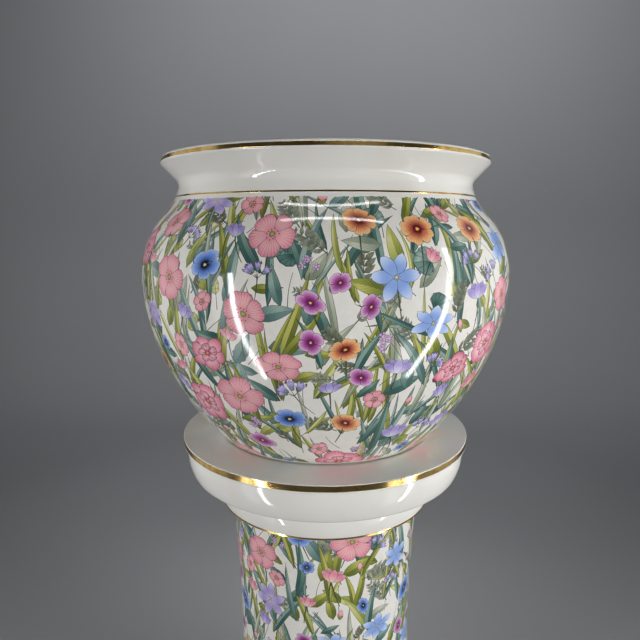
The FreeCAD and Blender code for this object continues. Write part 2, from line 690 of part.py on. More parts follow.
def make_bowl(curve):
    """The bowl's wall, floor, foot ring, flared collar and rolled lip in one casting."""
    body = new_piece("jardiniere_bowl")
    outline = new_outline(body, "jardiniere_bowl_outline")
    inward = "-dim.bowl_wall"
    wall = value("dim.bowl_wall")
    foot_up = value(MAT_TOP)
    floor_up = value(INSIDE_FLOOR)

    outer = follow(outline, curve, ARC_NAMES, "0")
    neck_centre, neck_radius, _, neck_high = curve.offset_arc("neck", 0)
    flare_start = polar(neck_centre, neck_radius, neck_high)
    flare_end = curve.flare_end
    lip_low = (value(LIP_RADIUS), value(above_mat(LIP_EDGE_HEIGHT)))
    lip_high = (value(LIP_TOP_RADIUS), value(above_mat(LIP_FACE_TOP)))
    inner_start = polar(neck_centre, neck_radius + wall, neck_high)
    run = (flare_end[0] - flare_start[0], flare_end[1] - flare_start[1])
    share = (lip_high[1] - inner_start[1]) / run[1]
    inner_end = (inner_start[0] + run[0] * share, lip_high[1])
    roll_centre = ((lip_high[0] + inner_end[0]) / 2, lip_high[1] - value("dim.lip_roll_drop"))

    flare = outline.line(flare_start, flare_end)
    lip_edge = outline.arc_between(flare_end, lip_low, value("dim.lip_edge_curve"), 1)
    lip_face = outline.line(lip_low, lip_high)
    roll = outline.arc(
        roll_centre,
        math.dist(roll_centre, lip_high),
        bearing(roll_centre, lip_high),
        bearing(roll_centre, inner_end),
    )
    inner_flare = outline.line(inner_start, inner_end)
    inner = follow(outline, curve, ARC_NAMES, inward)

    lower_centre, lower_inside = curve.offset_arc("lower", -wall)[:2]
    floor_curve = value("dim.floor_curve")
    heel_up = floor_up + floor_curve
    heel_rise = heel_up - lower_centre[1]
    heel_centre = (
        lower_centre[0] + math.sqrt((lower_inside - floor_curve) ** 2 - heel_rise ** 2),
        heel_up,
    )
    heel_angle = bearing(lower_centre, heel_centre)
    heel = outline.arc(heel_centre, floor_curve, -math.pi / 2, heel_angle)
    recess_up = value(RECESS_TOP)
    recess_reach = value("dim.foot_radius - dim.foot_ring_width")
    floor = outline.line((0, floor_up), (heel_centre[0], floor_up))
    axis = outline.line((0, recess_up), (0, floor_up))
    recess = outline.line((recess_reach, recess_up), (0, recess_up))
    recess_side = outline.line((recess_reach, foot_up), (recess_reach, recess_up))
    foot_face = outline.line(curve.foot, (recess_reach, foot_up))

    outline.flow(outer[-1], flare)
    for first, second in ((flare, lip_edge), (lip_edge, lip_face), (lip_face, roll)):
        outline.meet(first, second)
    outline.sketch.addConstraint(
        Sketcher.Constraint("Coincident", roll.number, roll.end, inner_flare.number, inner_flare.end)
    )
    outline.flow(inner[-1], inner_flare)
    outline.sketch.addConstraint(
        Sketcher.Constraint("Parallel", flare.number, inner_flare.number)
    )
    outline.flow(heel, inner[0])
    outline.flow(floor, heel)
    for first, second in ((axis, floor), (recess, axis), (recess_side, recess)):
        outline.meet(first, second)
    outline.meet(foot_face, recess_side)
    outline.sketch.addConstraint(
        Sketcher.Constraint(
            "Coincident", foot_face.number, foot_face.start, outer[0].number, outer[0].start
        )
    )
    outline.height(outer[0], outer[0].start, MAT_TOP, "foot_height")
    outline.reach(flare, flare.end, FLARE_RADIUS, "flare_reach")
    outline.height(flare, flare.end, above_mat(FLARE_HEIGHT), "flare_height")
    outline.radius(lip_edge, "dim.lip_edge_curve", "lip_edge_curve")
    outline.reach(lip_face, lip_face.start, LIP_RADIUS, "lip_reach")
    outline.height(lip_face, lip_face.start, above_mat(LIP_EDGE_HEIGHT), "lip_edge_height")
    outline.reach(lip_face, lip_face.end, LIP_TOP_RADIUS, "lip_top_reach")
    outline.height(lip_face, lip_face.end, above_mat(LIP_FACE_TOP), "lip_top_height")
    outline.height(inner_flare, inner_flare.end, above_mat(LIP_FACE_TOP), "inner_lip_height")
    outline.height(
        roll, CENTRE_INDEX, above_mat(f"{LIP_FACE_TOP} - dim.lip_roll_drop"), "roll_centre_height"
    )
    outline.radius(heel, "dim.floor_curve", "floor_curve")
    outline.height(floor, floor.start, INSIDE_FLOOR, "floor_height")
    outline.reach(floor, floor.start, "0", "floor_axis")
    outline.sketch.addConstraint(Sketcher.Constraint("Horizontal", floor.number))
    outline.reach(recess, recess.end, "0", "recess_axis")
    outline.height(recess, recess.end, RECESS_TOP, "recess_height")
    outline.reach(recess, recess.start, "dim.foot_radius - dim.foot_ring_width", "recess_reach")
    outline.height(recess, recess.start, RECESS_TOP, "recess_edge_height")
    outline.reach(foot_face, foot_face.end, "dim.foot_radius - dim.foot_ring_width", "ring_inside")
    outline.height(foot_face, foot_face.end, MAT_TOP, "ring_inside_height")
    turn(body, outline)
    round_rims(body, [("dim.foot_radius", MAT_TOP)], "dim.foot_edge_round")


def bowl_skin(label, curve, thickness, low, high):
    """A skin just clear of the bowl's outer curve, between two heights above the bowl's foot."""
    body = new_piece(label)
    outline = new_outline(body, f"{label}_outline")
    low_up = value(above_mat(low))
    high_up = value(above_mat(high))
    names = curve.arcs_between(low_up, high_up)
    under_offset = "dim.skin_clearance"
    over_offset = f"(dim.skin_clearance + {thickness})"
    under = follow(outline, curve, names, under_offset)
    over = follow(outline, curve, names, over_offset)
    for word, height, up, number in (("low", low, low_up, 0), ("high", high, high_up, -1)):
        name = names[number]
        inner_point = curve.point_at(name, value(under_offset), up)
        outer_point = curve.point_at(name, value(over_offset), up)
        edge = outline.line(inner_point, outer_point)
        for chain, end in ((under, edge.start), (over, edge.end)):
            arc = chain[number]
            arc_end = arc.start if word == "low" else arc.end
            outline.sketch.addConstraint(
                Sketcher.Constraint("Coincident", edge.number, end, arc.number, arc_end)
            )
        outline.sketch.addConstraint(Sketcher.Constraint("Horizontal", edge.number))
        outline.height(edge, edge.start, above_mat(height), f"{word}_edge")
    turn(body, outline)


def make_bowl_print(curve):
    bowl_skin(
        "bowl_print",
        curve,
        "dim.print_thickness",
        "dim.bowl_print_bottom",
        BOWL_PRINT_TOP,
    )


def make_bowl_gilding(curve):
    """The thin line at the neck and the band on the lip's upright face."""
    bowl_skin(
        "neck_gilding",
        curve,
        "dim.gilding_thickness",
        f"({NECK_GILDING_HEIGHT} - dim.neck_gilding_width / 2)",
        f"({NECK_GILDING_HEIGHT} + dim.neck_gilding_width / 2)",
    )
    low = "dim.lip_gilding_margin"
    high = "(dim.lip_face_height - dim.lip_gilding_margin)"
    corners = []
    for proud, rise in (("0", low), ("dim.gilding_thickness", low)):
        corners.append(lip_face_point(proud, rise))
    for proud, rise in (("dim.gilding_thickness", high), ("0", high)):
        corners.append(lip_face_point(proud, rise))
    turned_piece("lip_gilding", corners)


def lip_face_point(proud, rise):
    """A point on the lip's leaning face, or just proud of it, above the face's lower edge."""
    across = f"({LIP_RADIUS} - dim.lip_lean * {rise} / dim.lip_face_height + {proud})"
    return across, above_mat(f"({LIP_EDGE_HEIGHT} + {rise})")


def check_document():
    """Stop if any feature failed or a piece is not one sound set of solids."""
    document.recompute()
    for thing in document.Objects:
        if "Invalid" in thing.State or "Error" in thing.State:
            raise RuntimeError(f"{thing.Label}: {thing.State}")
        if thing.TypeId == "Sketcher::SketchObject" and not thing.FullyConstrained:
            raise RuntimeError(f"{thing.Label} is not fully constrained")
    for body in pieces:
        if body.Shape.isNull() or not body.Shape.isValid() or not body.Shape.Solids:
            raise RuntimeError(f"{body.Label} has no valid solid")


def write_pieces():
    os.makedirs("parts", exist_ok=True)
    for body in pieces:
        body.Shape.exportStep(os.path.join("parts", f"{body.Label}.step"))
        litres = body.Shape.Volume / 1e6
        print(f"{body.Label}: {len(body.Shape.Solids)} solid(s), {litres:.4f} litres")


make_foot_pads()
make_plinth()
make_moulding("base_moulding", PLINTH_TOP, 1)
make_moulding("capital_moulding", DISC_BOTTOM, -1)
make_column()
make_column_print()
make_joint_beds()
make_top_disc()
make_stand_gilding()
make_mat()
bowl_outer_curve = make_bowl_curve()
make_bowl(bowl_outer_curve)
make_bowl_print(bowl_outer_curve)
make_bowl_gilding(bowl_outer_curve)
check_document()
write_pieces()
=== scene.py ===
"""Jardiniere on stand: a printed and gilded porcelain bowl that stands loose on its pedestal.

The camera comes first, then the finishes, the studio, the turned castings, their gilding and the
printed transfers. The camera and the studio are in metres. Castings and prints are in millimetres
until a mesh is made of them. Heights are above the floor, and a section is given as
(radius, height) round the upright axis.
"""

import math
import random

import bpy
import numpy as np
from mathutils import Matrix, Vector
from mathutils.geometry import delaunay_2d_cdt


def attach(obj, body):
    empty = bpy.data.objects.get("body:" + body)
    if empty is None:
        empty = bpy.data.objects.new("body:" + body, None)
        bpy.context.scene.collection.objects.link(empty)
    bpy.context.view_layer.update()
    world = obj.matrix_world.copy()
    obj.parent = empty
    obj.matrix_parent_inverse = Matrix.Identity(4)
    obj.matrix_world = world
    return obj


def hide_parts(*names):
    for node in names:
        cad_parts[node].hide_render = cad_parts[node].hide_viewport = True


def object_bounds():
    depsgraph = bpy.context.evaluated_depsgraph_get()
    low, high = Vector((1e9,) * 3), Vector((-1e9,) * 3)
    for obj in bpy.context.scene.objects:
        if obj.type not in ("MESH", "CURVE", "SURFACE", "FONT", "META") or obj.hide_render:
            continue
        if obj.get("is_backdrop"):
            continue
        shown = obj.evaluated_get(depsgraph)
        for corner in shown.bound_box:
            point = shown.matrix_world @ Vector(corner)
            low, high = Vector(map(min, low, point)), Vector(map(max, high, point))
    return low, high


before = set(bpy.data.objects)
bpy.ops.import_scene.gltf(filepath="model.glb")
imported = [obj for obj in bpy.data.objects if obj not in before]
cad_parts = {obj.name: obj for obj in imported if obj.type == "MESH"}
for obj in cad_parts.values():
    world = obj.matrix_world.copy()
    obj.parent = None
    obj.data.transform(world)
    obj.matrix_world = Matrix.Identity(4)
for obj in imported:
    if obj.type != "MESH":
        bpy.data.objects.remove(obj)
cad_low, cad_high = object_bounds()

MM = 0.001
FULL_TURN = 2 * math.pi

# ---------------------------------------------------------------- camera

PICTURE_SIDE = 640
FOCAL_PIXELS = 564
SENSOR_WIDTH = 36.0
CAMERA_PLACE = (0.0, -0.7416, 0.8397)
CAMERA_PITCH_DOWN = 9.63
CAMERA_YAW = 0.52

camera_data = bpy.data.cameras.new("studio_camera")
camera_data.sensor_width = SENSOR_WIDTH
camera_data.lens = FOCAL_PIXELS / PICTURE_SIDE * SENSOR_WIDTH
camera_data.clip_start = 0.02
camera_data.clip_end = 50
camera = bpy.data.objects.new("studio_camera", camera_data)
camera.location = CAMERA_PLACE
camera.rotation_euler = (math.radians(90 - CAMERA_PITCH_DOWN), 0, math.radians(CAMERA_YAW))
bpy.context.scene.collection.objects.link(camera)
bpy.context.scene.camera = camera
bpy.context.scene.view_settings.view_transform = "Standard"


# ---------------------------------------------------------------- shader graphs

# A Mix node has a set of sockets for each kind of value. These are the share's and the colours'.
MIXED_COLOURS = (0, 6, 7)
MIXED_OUT = 2


class Wire:
    """An output socket that takes part in sums: an expression adds its Math nodes."""

    def __init__(self, graph, socket):
        self.graph = graph
        self.socket = socket

    def other(self, output):
        return Wire(self.graph, self.socket.node.outputs[output])

    def maths(self, operation, *operands):
        settings = {"operation": operation}
        return self.graph.node("ShaderNodeMath", settings, dict(enumerate(operands)))

    def __add__(self, value):
        return self.maths("ADD", self, value)

    def __radd__(self, value):
        return self.maths("ADD", value, self)

    def __sub__(self, value):
        return self.maths("SUBTRACT", self, value)

    def __rsub__(self, value):
        return self.maths("SUBTRACT", value, self)

    def __mul__(self, value):
        return self.maths("MULTIPLY", self, value)

    def __rmul__(self, value):
        return self.maths("MULTIPLY", value, self)

    def __abs__(self):
        return self.maths("ABSOLUTE", self)

    def fraction(self):
        return self.maths("FRACT", self)

    def step(self, low, high):
        """0 below low, 1 above high and smooth between. Low may be the greater of the two."""
        values = {"Value": self, "From Min": min(low, high), "From Max": max(low, high)}
        if low > high:
            values.update({"To Min": 1.0, "To Max": 0.0})
        settings = {"interpolation_type": "SMOOTHSTEP"}
        return self.graph.node("ShaderNodeMapRange", settings, values)


class Graph:
    """A node tree being made."""

    def __init__(self, tree):
        self.tree = tree

    def node(self, kind, settings=None, values=None, output=0):
        """Any node: its settings first, then the values or wires of its sockets."""
        made = self.tree.nodes.new(kind)
        for key, setting in (settings or {}).items():
            setattr(made, key, setting)
        for key, value in (values or {}).items():
            self.feed(made.inputs[key], value)
        return Wire(self, made.outputs[output])

    def feed(self, socket, value):
        if isinstance(value, Wire):
            self.tree.links.new(value.socket, socket)
        elif isinstance(value, tuple) and len(value) == 3 and socket.type == "RGBA":
            socket.default_value = (*value, 1.0)
        else:
            socket.default_value = value

    def blend(self, share, first, second, blend="MIX"):
        settings = {"data_type": "RGBA", "blend_type": blend}
        values = dict(zip(MIXED_COLOURS, (share, first, second)))
        return self.node("ShaderNodeMix", settings, values, MIXED_OUT)


class Finish(Graph):
    """A material being made: its shader, and the nodes that feed it."""

    def __init__(self, name, **constants):
        self.material = bpy.data.materials.new(name)
        self.material.use_nodes = True
        super().__init__(self.material.node_tree)
        self.shader = self.tree.nodes["Principled BSDF"]
        for socket, value in constants.items():
            self.shader.inputs[socket.replace("_", " ")].default_value = value

    def give(self, **links):
        for socket, value in links.items():
            self.feed(self.shader.inputs[socket.replace("_", " ")], value)

    def position(self):
        return self.node("ShaderNodeNewGeometry", output="Position")

    def place(self):
        return self.node("ShaderNodeTexCoord", output="Object")

    def noise(self, where, scale, detail=2.0, roughness=0.5):
        values = {"Vector": where, "Scale": scale, "Detail": detail, "Roughness": roughness}
        return self.node("ShaderNodeTexNoise", None, values)

    def stretched(self, where, scale):
        settings = {"operation": "MULTIPLY"}
        return self.node("ShaderNodeVectorMath", settings, {0: where, 1: scale})

    def shaded(self, colour, strength):
        """A colour made lighter or darker by a wire that is 1 where it stays."""
        grey = self.node("ShaderNodeCombineColor", None, {0: strength, 1: strength, 2: strength})
        return self.blend(1.0, colour, grey, "MULTIPLY")

    def bump(self, height, distance, strength=1.0):
        values = {"Height": height, "Distance": distance, "Strength": strength}
        return self.node("ShaderNodeBump", None, values)


def linear(colour):
    """A colour as the eye reads it on a screen, 0 to 1, as light."""
    seen = np.array(colour)
    return tuple(np.where(seen <= 0.04045, seen / 12.92, ((seen + 0.055) / 1.055) ** 2.4).tolist())


# ---------------------------------------------------------------- finishes

GLAZE_WHITE = linear((0.93, 0.925, 0.905))
GLAZE_SHADE = linear((0.905, 0.895, 0.865))
BARE_BISQUE = linear((0.86, 0.82, 0.75))
GOLD_LIGHT = linear((0.95, 0.83, 0.54))
GOLD_DEEP = linear((0.86, 0.67, 0.35))
FELT_GREEN = linear((0.20, 0.25, 0.21))
FELT_PALE = linear((0.30, 0.35, 0.30))
CEMENT_PALE = linear((0.74, 0.71, 0.66))
CEMENT_DARK = linear((0.58, 0.55, 0.50))
PRINT_INK = linear((0.17, 0.16, 0.17))
PAPER_GREY = linear((0.73, 0.735, 0.75))


def give_glaze_gloss(finish, where):
    """Fired glaze: glossy, slightly uneven and slightly rippled."""
    finish.give(Roughness=0.07 + 0.05 * finish.noise(where, 26.0).step(0.3, 0.8))
    ripple = finish.noise(where, 17.0, 1.5)
    finish.give(Normal=finish.bump(ripple, 0.0005, 0.35))


def make_white_glaze():
    finish = Finish("white_glaze", IOR=1.5)
    where = finish.place()
    cloud = finish.noise(where, 9.0, 3.0)
    speck = finish.noise(where, 420.0, 1.0)
    tint = finish.blend(cloud.step(0.35, 0.75), GLAZE_WHITE, GLAZE_SHADE)
    tint = finish.shaded(tint, 1 - 0.35 * speck.step(0.80, 0.86))
    finish.give(Base_Color=tint)
    give_glaze_gloss(finish, where)
    return finish.material


def make_bisque():
    finish = Finish("bare_bisque", Roughness=0.75)
    where = finish.place()
    grain = finish.noise(where, 900.0, 4.0, 0.7)
    finish.give(Base_Color=finish.shaded(BARE_BISQUE, 0.85 + 0.3 * grain))
    finish.give(Normal=finish.bump(grain, 0.0002, 0.6))
    return finish.material


def make_printed_glaze():
    """Reads what each motif carries: its colour, its veining and how far its edge is."""
    finish = Finish("printed_glaze", IOR=1.5)
    where = finish.place()
    paint = finish.node("ShaderNodeAttribute", {"attribute_name": "paint"}, None, "Color")
    veining = paint.other("Alpha")
    lines = finish.node("ShaderNodeAttribute", {"attribute_name": "lines"}, None, "Vector")
    vein = finish.node("ShaderNodeSeparateXYZ", None, {0: lines})
    rim = vein.other("Y")
    wash = finish.noise(where, 140.0, 3.0, 0.6)
    grain = finish.noise(where, 900.0, 2.0)
    colour = finish.shaded(paint, 0.99 + 0.17 * wash + 0.05 * grain)
    thread = abs((vein + 0.5).fraction() - 0.5).step(0.17, 0.03)
    colour = finish.shaded(colour, 1 - 0.55 * thread * veining)
    hand = finish.noise(where, 260.0, 2.0)
    ink = (rim - 0.25 * hand).step(0.46, 0.18)
    colour = finish.blend(ink * 0.80, colour, PRINT_INK)
    finish.give(Base_Color=colour)
    give_glaze_gloss(finish, where)
    return finish.material


def make_gilding():
    finish = Finish("gilding", Metallic=1.0)
    where = finish.place()
    brushed = finish.noise(finish.stretched(where, (25.0, 25.0, 900.0)), 1.0, 3.0, 0.6)
    worn = finish.noise(where, 120.0, 3.0, 0.6)
    tone = finish.blend(worn.step(0.3, 0.75), GOLD_LIGHT, GOLD_DEEP)
    finish.give(Base_Color=finish.shaded(tone, 0.92 + 0.12 * brushed))
    finish.give(Roughness=0.10 + 0.10 * brushed + 0.10 * worn.step(0.62, 0.75))
    finish.give(Normal=finish.bump(brushed, 0.00006, 0.4))
    return finish.material


def make_felt():
    finish = Finish("felt", Roughness=0.95, Sheen_Weight=0.4, Sheen_Roughness=0.5)
    where = finish.place()
    fibre = finish.noise(where, 1500.0, 4.0, 0.75)
    clump = finish.noise(where, 160.0, 3.0)
    tone = finish.blend((fibre * 0.6 + clump * 0.4).step(0.3, 0.7), FELT_GREEN, FELT_PALE)
    finish.give(Base_Color=tone)
    finish.give(Normal=finish.bump(fibre, 0.0006, 0.8))
    return finish.material


def make_cement():
    finish = Finish("bedding_cement", Roughness=0.9)
    where = finish.place()
    grit = finish.noise(where, 700.0, 5.0, 0.7)
    patch = finish.noise(where, 60.0, 2.0)
    tone = finish.blend((grit * 0.6 + patch * 0.4).step(0.35, 0.65), CEMENT_DARK, CEMENT_PALE)
    finish.give(Base_Color=tone)
    finish.give(Normal=finish.bump(grit, 0.0006, 0.7))
    return finish.material


def make_studio_paper():
    finish = Finish("studio_paper", Roughness=0.85)
    where = finish.position()
    tone = finish.noise(where, 2.0, 3.0)
    fibre = finish.noise(where, 350.0, 3.0, 0.6)
    finish.give(Base_Color=finish.shaded(PAPER_GREY, 0.96 + 0.05 * tone + 0.02 * fibre))
    finish.give(Normal=finish.bump(fibre, 0.0003, 0.3))
    return finish.material


BISQUE = make_bisque()
FINISHES = {
    "white_glaze": make_white_glaze(),
    "printed_glaze": make_printed_glaze(),
    "gilding": make_gilding(),
    "felt": make_felt(),
    "bedding_cement": make_cement(),
}

# ---------------------------------------------------------------- studio

FLOOR_SIDE = 5.2
STRIP_AIM = 0.8
BODY_MIDDLE = (0.0, 0.0, 0.6)
PICTURE_MIDDLE = (0.0, 0.0, 0.8)
SWEEP_START = 1.5
SWEEP_RADIUS = 0.9
SWEEP_STEPS = 24
WALL_TOP = 3.4
WORLD_GREY = (0.072, 0.073, 0.074)
MIRRORED_GREY = (0.040, 0.042, 0.045)


def make_backdrop():
    """A sheet of paper that lies on the floor and sweeps up into the wall behind."""
    section = [(-FLOOR_SIDE / 2, 0.0), (SWEEP_START, 0.0)]
    for step in range(1, SWEEP_STEPS + 1):
        turn = math.pi / 2 * step / SWEEP_STEPS
        out = SWEEP_START + SWEEP_RADIUS * math.sin(turn)
        section.append((out, SWEEP_RADIUS * (1 - math.cos(turn))))
    section.append((SWEEP_START + SWEEP_RADIUS, WALL_TOP))
    half = FLOOR_SIDE / 2
    corners = [(side * half, out, up) for out, up in section for side in (-1, 1)]
    faces = [(2 * i, 2 * i + 1, 2 * i + 3, 2 * i + 2) for i in range(len(section) - 1)]
    mesh = bpy.data.meshes.new("studio_floor")
    mesh.from_pydata(corners, [], faces)
    mesh.shade_smooth()
    floor = bpy.data.objects.new("studio_floor", mesh)
    floor.data.materials.append(make_studio_paper())
    bpy.context.scene.collection.objects.link(floor)
    floor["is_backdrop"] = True


def make_lamp(name, place, aim, size, radiance, lit, cone=180, lean=(0, 0, 1)):
    """A flat softbox whose tall side follows lean.

    A lit one lights surfaces and gloss doesn't show it. Any other only shows in gloss.
    """
    data = bpy.data.lights.new(name, "AREA")
    data.shape = "RECTANGLE"
    data.size, data.size_y = size
    data.energy = radiance * math.pi * size[0] * size[1]
    data.spread = math.radians(cone)
    back = (Vector(place) - Vector(aim)).normalized()
    level = Vector(lean).cross(back).normalized()
    facing = Matrix((level, back.cross(level), back)).transposed()
    lamp = bpy.data.objects.new(name, data)
    lamp.location = place
    lamp.rotation_euler = facing.to_euler()
    lamp.visible_camera = False
    lamp.visible_diffuse = lit
    lamp.visible_glossy = not lit
    bpy.context.scene.collection.objects.link(lamp)


def make_strip(name, low, high, width, radiance):
    """A narrow light from one point to another that faces the object and shows in its gloss."""
    low, high = Vector(low), Vector(high)
    middle = (low + high) / 2
    aim = (0.0, 0.0, min(middle.z, STRIP_AIM))
    make_lamp(name, middle, aim, (width, (high - low).length), radiance, False, lean=high - low)


def make_world():
    """Even grey light all round, darker where gloss mirrors it."""
    made = bpy.data.worlds.new("studio_world")
    made.use_nodes = True
    graph = Graph(made.node_tree)
    mirrored = graph.node("ShaderNodeLightPath", output="Is Glossy Ray")
    tone = graph.blend(mirrored, WORLD_GREY, MIRRORED_GREY)
    graph.feed(made.node_tree.nodes["Background"].inputs["Color"], tone)
    bpy.context.scene.world = made


# A strip's name, its two ends, its width and its radiance.
STRIPS = (
    ("strip_left", (-0.435, -0.515, 0.08), (-0.49, -0.485, 0.86), 0.030, 26),
    ("strip_right", (0.560, -0.385, 0.13), (0.620, -0.280, 1.08), 0.038, 20),
    ("strip_top", (-0.32, -0.345, 1.65), (0.42, -0.345, 1.651), 0.055, 13),
    ("glow_left", (-0.55, -0.42, 0.06), (-0.55, -0.42, 0.85), 0.10, 1.6),
    ("glow_right", (0.49, -0.47, 0.06), (0.49, -0.47, 0.45), 0.10, 2.0),
    ("strip_back", (-0.17, 0.80, 0.08), (-0.17, 0.80, 1.0), 0.05, 12),
    ("strip_far", (0.20, 0.78, 0.08), (0.20, 0.78, 1.0), 0.04, 10),
)
# A softbox's name, place, aim, size and radiance, whether it lights surfaces, and its cone.
SOFTBOXES = (
    ("wall_left", (-1.25, 0.12, 0.9), PICTURE_MIDDLE, (1.1, 1.9), 0.42, False, 180),
    ("wall_right", (1.30, 0.20, 0.9), PICTURE_MIDDLE, (1.1, 1.9), 0.55, False, 180),
    ("wall_front", (0.62, -1.75, 0.9), PICTURE_MIDDLE, (1.25, 1.9), 0.24, False, 180),
    ("soft_top", (0.0, -0.5, 2.2), BODY_MIDDLE, (1.6, 1.2), 0.10, True, 100),
    ("soft_left", (-1.5, -0.9, 0.66), BODY_MIDDLE, (1.0, 0.9), 1.10, True, 70),
    ("soft_right", (1.5, -0.85, 0.68), BODY_MIDDLE, (1.0, 0.9), 1.72, True, 70),
    ("soft_low", (0.0, -1.6, 0.35), BODY_MIDDLE, (1.4, 0.5), 0.05, True, 80),
    ("soft_back", (-1.1, 1.3, 0.7), BODY_MIDDLE, (1.0, 1.0), 0.36, True, 80),
    ("soft_far", (1.2, 1.2, 0.7), BODY_MIDDLE, (1.0, 1.0), 0.36, True, 80),
    ("wall_wash", (0.25, 0.7, 2.9), (0.25, 2.4, 1.7), (2.6, 0.5), 2.7, True, 110),
)

make_backdrop()
make_world()
for strip in STRIPS:
    make_strip(*strip)
for softbox in SOFTBOXES:
    make_lamp(*softbox)

# ---------------------------------------------------------------- turned pieces

AROUND = 288
ARC_STEP = math.radians(3.0)
ON_AXIS = 1e-6
# A gilded edge drawn by hand wavers: these are its waves in a turn, each of the same height.
WAVES = (2, 3, 5, 8, 13, 21, 29, 37)
WAVE_HEIGHT = 0.25


class Section:
    """The outline of a turned piece: bands, each with its two ends and the normals there.

    It starts from rows of (radius, height, curve). The curve is the radius of the arc that ends
    at the row: 0 for a straight run, above 0 where the outline bulges and below 0 where it is
    hollow. The solid lies on the left of the way round.
    """

    def __init__(self, rows, closed=False):
        self.bands = []
        if closed and rows[0][:2] != rows[-1][:2]:
            rows = (*rows, (rows[0][0], rows[0][1], 0))
        for before, after in zip(rows, rows[1:]):
            self.run(before[:2], after[:2], after[2])

    def run(self, start, end, curve):
        across, up = end[0] - start[0], end[1] - start[1]
        reach = math.hypot(across, up)
        normal = (up / reach, -across / reach)
        if not curve:
            self.bands.append((start, end, normal, normal))
            return
        sense = 1 if curve > 0 else -1
        depth = math.sqrt(max(curve * curve - reach * reach / 4, 0.0))
        centre = (
            (start[0] + end[0]) / 2 - sense * depth * normal[0],
            (start[1] + end[1]) / 2 - sense * depth * normal[1],
        )
        first = math.atan2(start[1] - centre[1], start[0] - centre[0])
        swing = sense * 2 * math.asin(min(reach / 2 / abs(curve), 1.0))
        steps = max(2, math.ceil(abs(swing) / ARC_STEP))
        spots = []
        for step in range(steps + 1):
            turn = first + swing * step / steps
            out = (math.cos(turn), math.sin(turn))
            spot = (centre[0] + abs(curve) * out[0], centre[1] + abs(curve) * out[1])
            spots.append((spot, (sense * out[0], sense * out[1])))
        for (spot, out), (after, out_after) in zip(spots, spots[1:]):
            self.bands.append((spot, after, out, out_after))


class Wall:
    """A stretch of a section that something is laid on, measured along its surface from below."""

    STEP = 0.25

    def __init__(self, section, low, high):
        spots = []
        for start, end, out, out_after in section.bands:
            pieces = max(2, math.ceil(math.dist(start, end) / self.STEP))
            for share in np.linspace(0, 1, pieces):
                spot = np.array(start) * (1 - share) + np.array(end) * share
                normal = np.array(out) * (1 - share) + np.array(out_after) * share
                if low - 1 <= spot[1] <= high + 1:
                    spots.append((*spot, *(normal / np.linalg.norm(normal))))
        table = np.array(spots)
        heights = np.maximum.accumulate(table[:, 1] + np.arange(len(table)) * 1e-9)
        runs = np.concatenate([[0], np.cumsum(np.hypot(*np.diff(table[:, :2], axis=0).T))])
        start = np.interp(low, heights, runs)
        self.length = np.interp(high, heights, runs) - start
        self.runs = runs - start
        self.table = table

    def at(self, run):
        """Radius, height and the normal's two parts at distances along the wall."""
        return [np.interp(run, self.runs, self.table[:, column]) for column in range(4)]


def finish_object(piece, body, node):
    bpy.context.scene.collection.objects.link(piece)
    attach(piece, body)
    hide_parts(node)


def turned(name, body, slot, rows, node, unsteady=0.0, bare=None):
    """A piece turned from a closed section, with the section's own normals.

    Its edges waver by about unsteady, and it is unglazed below the height bare.
    """
    places = {}
    corners = []
    faces = []
    normals = []
    surfaces = []
    turns = [FULL_TURN * step / AROUND for step in range(AROUND)]
    phase = random.Random(name).uniform(0, FULL_TURN)
    middle = sum(row[1] for row in rows) / len(rows)

    def ring(spot):
        """The number of a ring's first corner, and the step from each corner to the next."""
        key = (round(spot[0], 5), round(spot[1], 5))
        if key not in places:
            places[key] = len(corners)
            side = -1 if spot[1] < middle else 1
            for turn in turns[: 1 if spot[0] < ON_AXIS else AROUND]:
                sway = sum(math.sin(wave * turn + phase * (2 + side)) for wave in WAVES)
                up = spot[1] + unsteady * WAVE_HEIGHT * sway
                corners.append((spot[0] * math.cos(turn), spot[0] * math.sin(turn), up))
        return places[key], 0 if spot[0] < ON_AXIS else 1

    for start, end, out, out_after in Section(rows, closed=True).bands:
        if start[0] < ON_AXIS and end[0] < ON_AXIS:
            continue
        low, low_step = ring(start)
        high, high_step = ring(end)
        for step in range(AROUND):
            after = (step + 1) % AROUND
            loop = [(low + low_step * step, out, turns[step])]
            if low_step:
                loop.append((low + after, out, turns[after]))
            loop.append((high + high_step * after, out_after, turns[after]))
            if high_step:
                loop.append((high + step, out_after, turns[step]))
            faces.append([corner for corner, _, _ in loop])
            surfaces.append(1 if bare and start[1] < bare and end[1] < bare else 0)
            for _, (across, up), turn in loop:
                normals.append((across * math.cos(turn), across * math.sin(turn), up))
    mesh = bpy.data.meshes.new(name)
    mesh.from_pydata([[MM * part for part in corner] for corner in corners], [], faces)
    mesh.materials.append(FINISHES[slot])
    if bare:
        mesh.materials.append(BISQUE)
        mesh.polygons.foreach_set("material_index", surfaces)
    mesh.shade_smooth()
    mesh.normals_split_custom_set(normals)
    finish_object(bpy.data.objects.new(name, mesh), body, node)


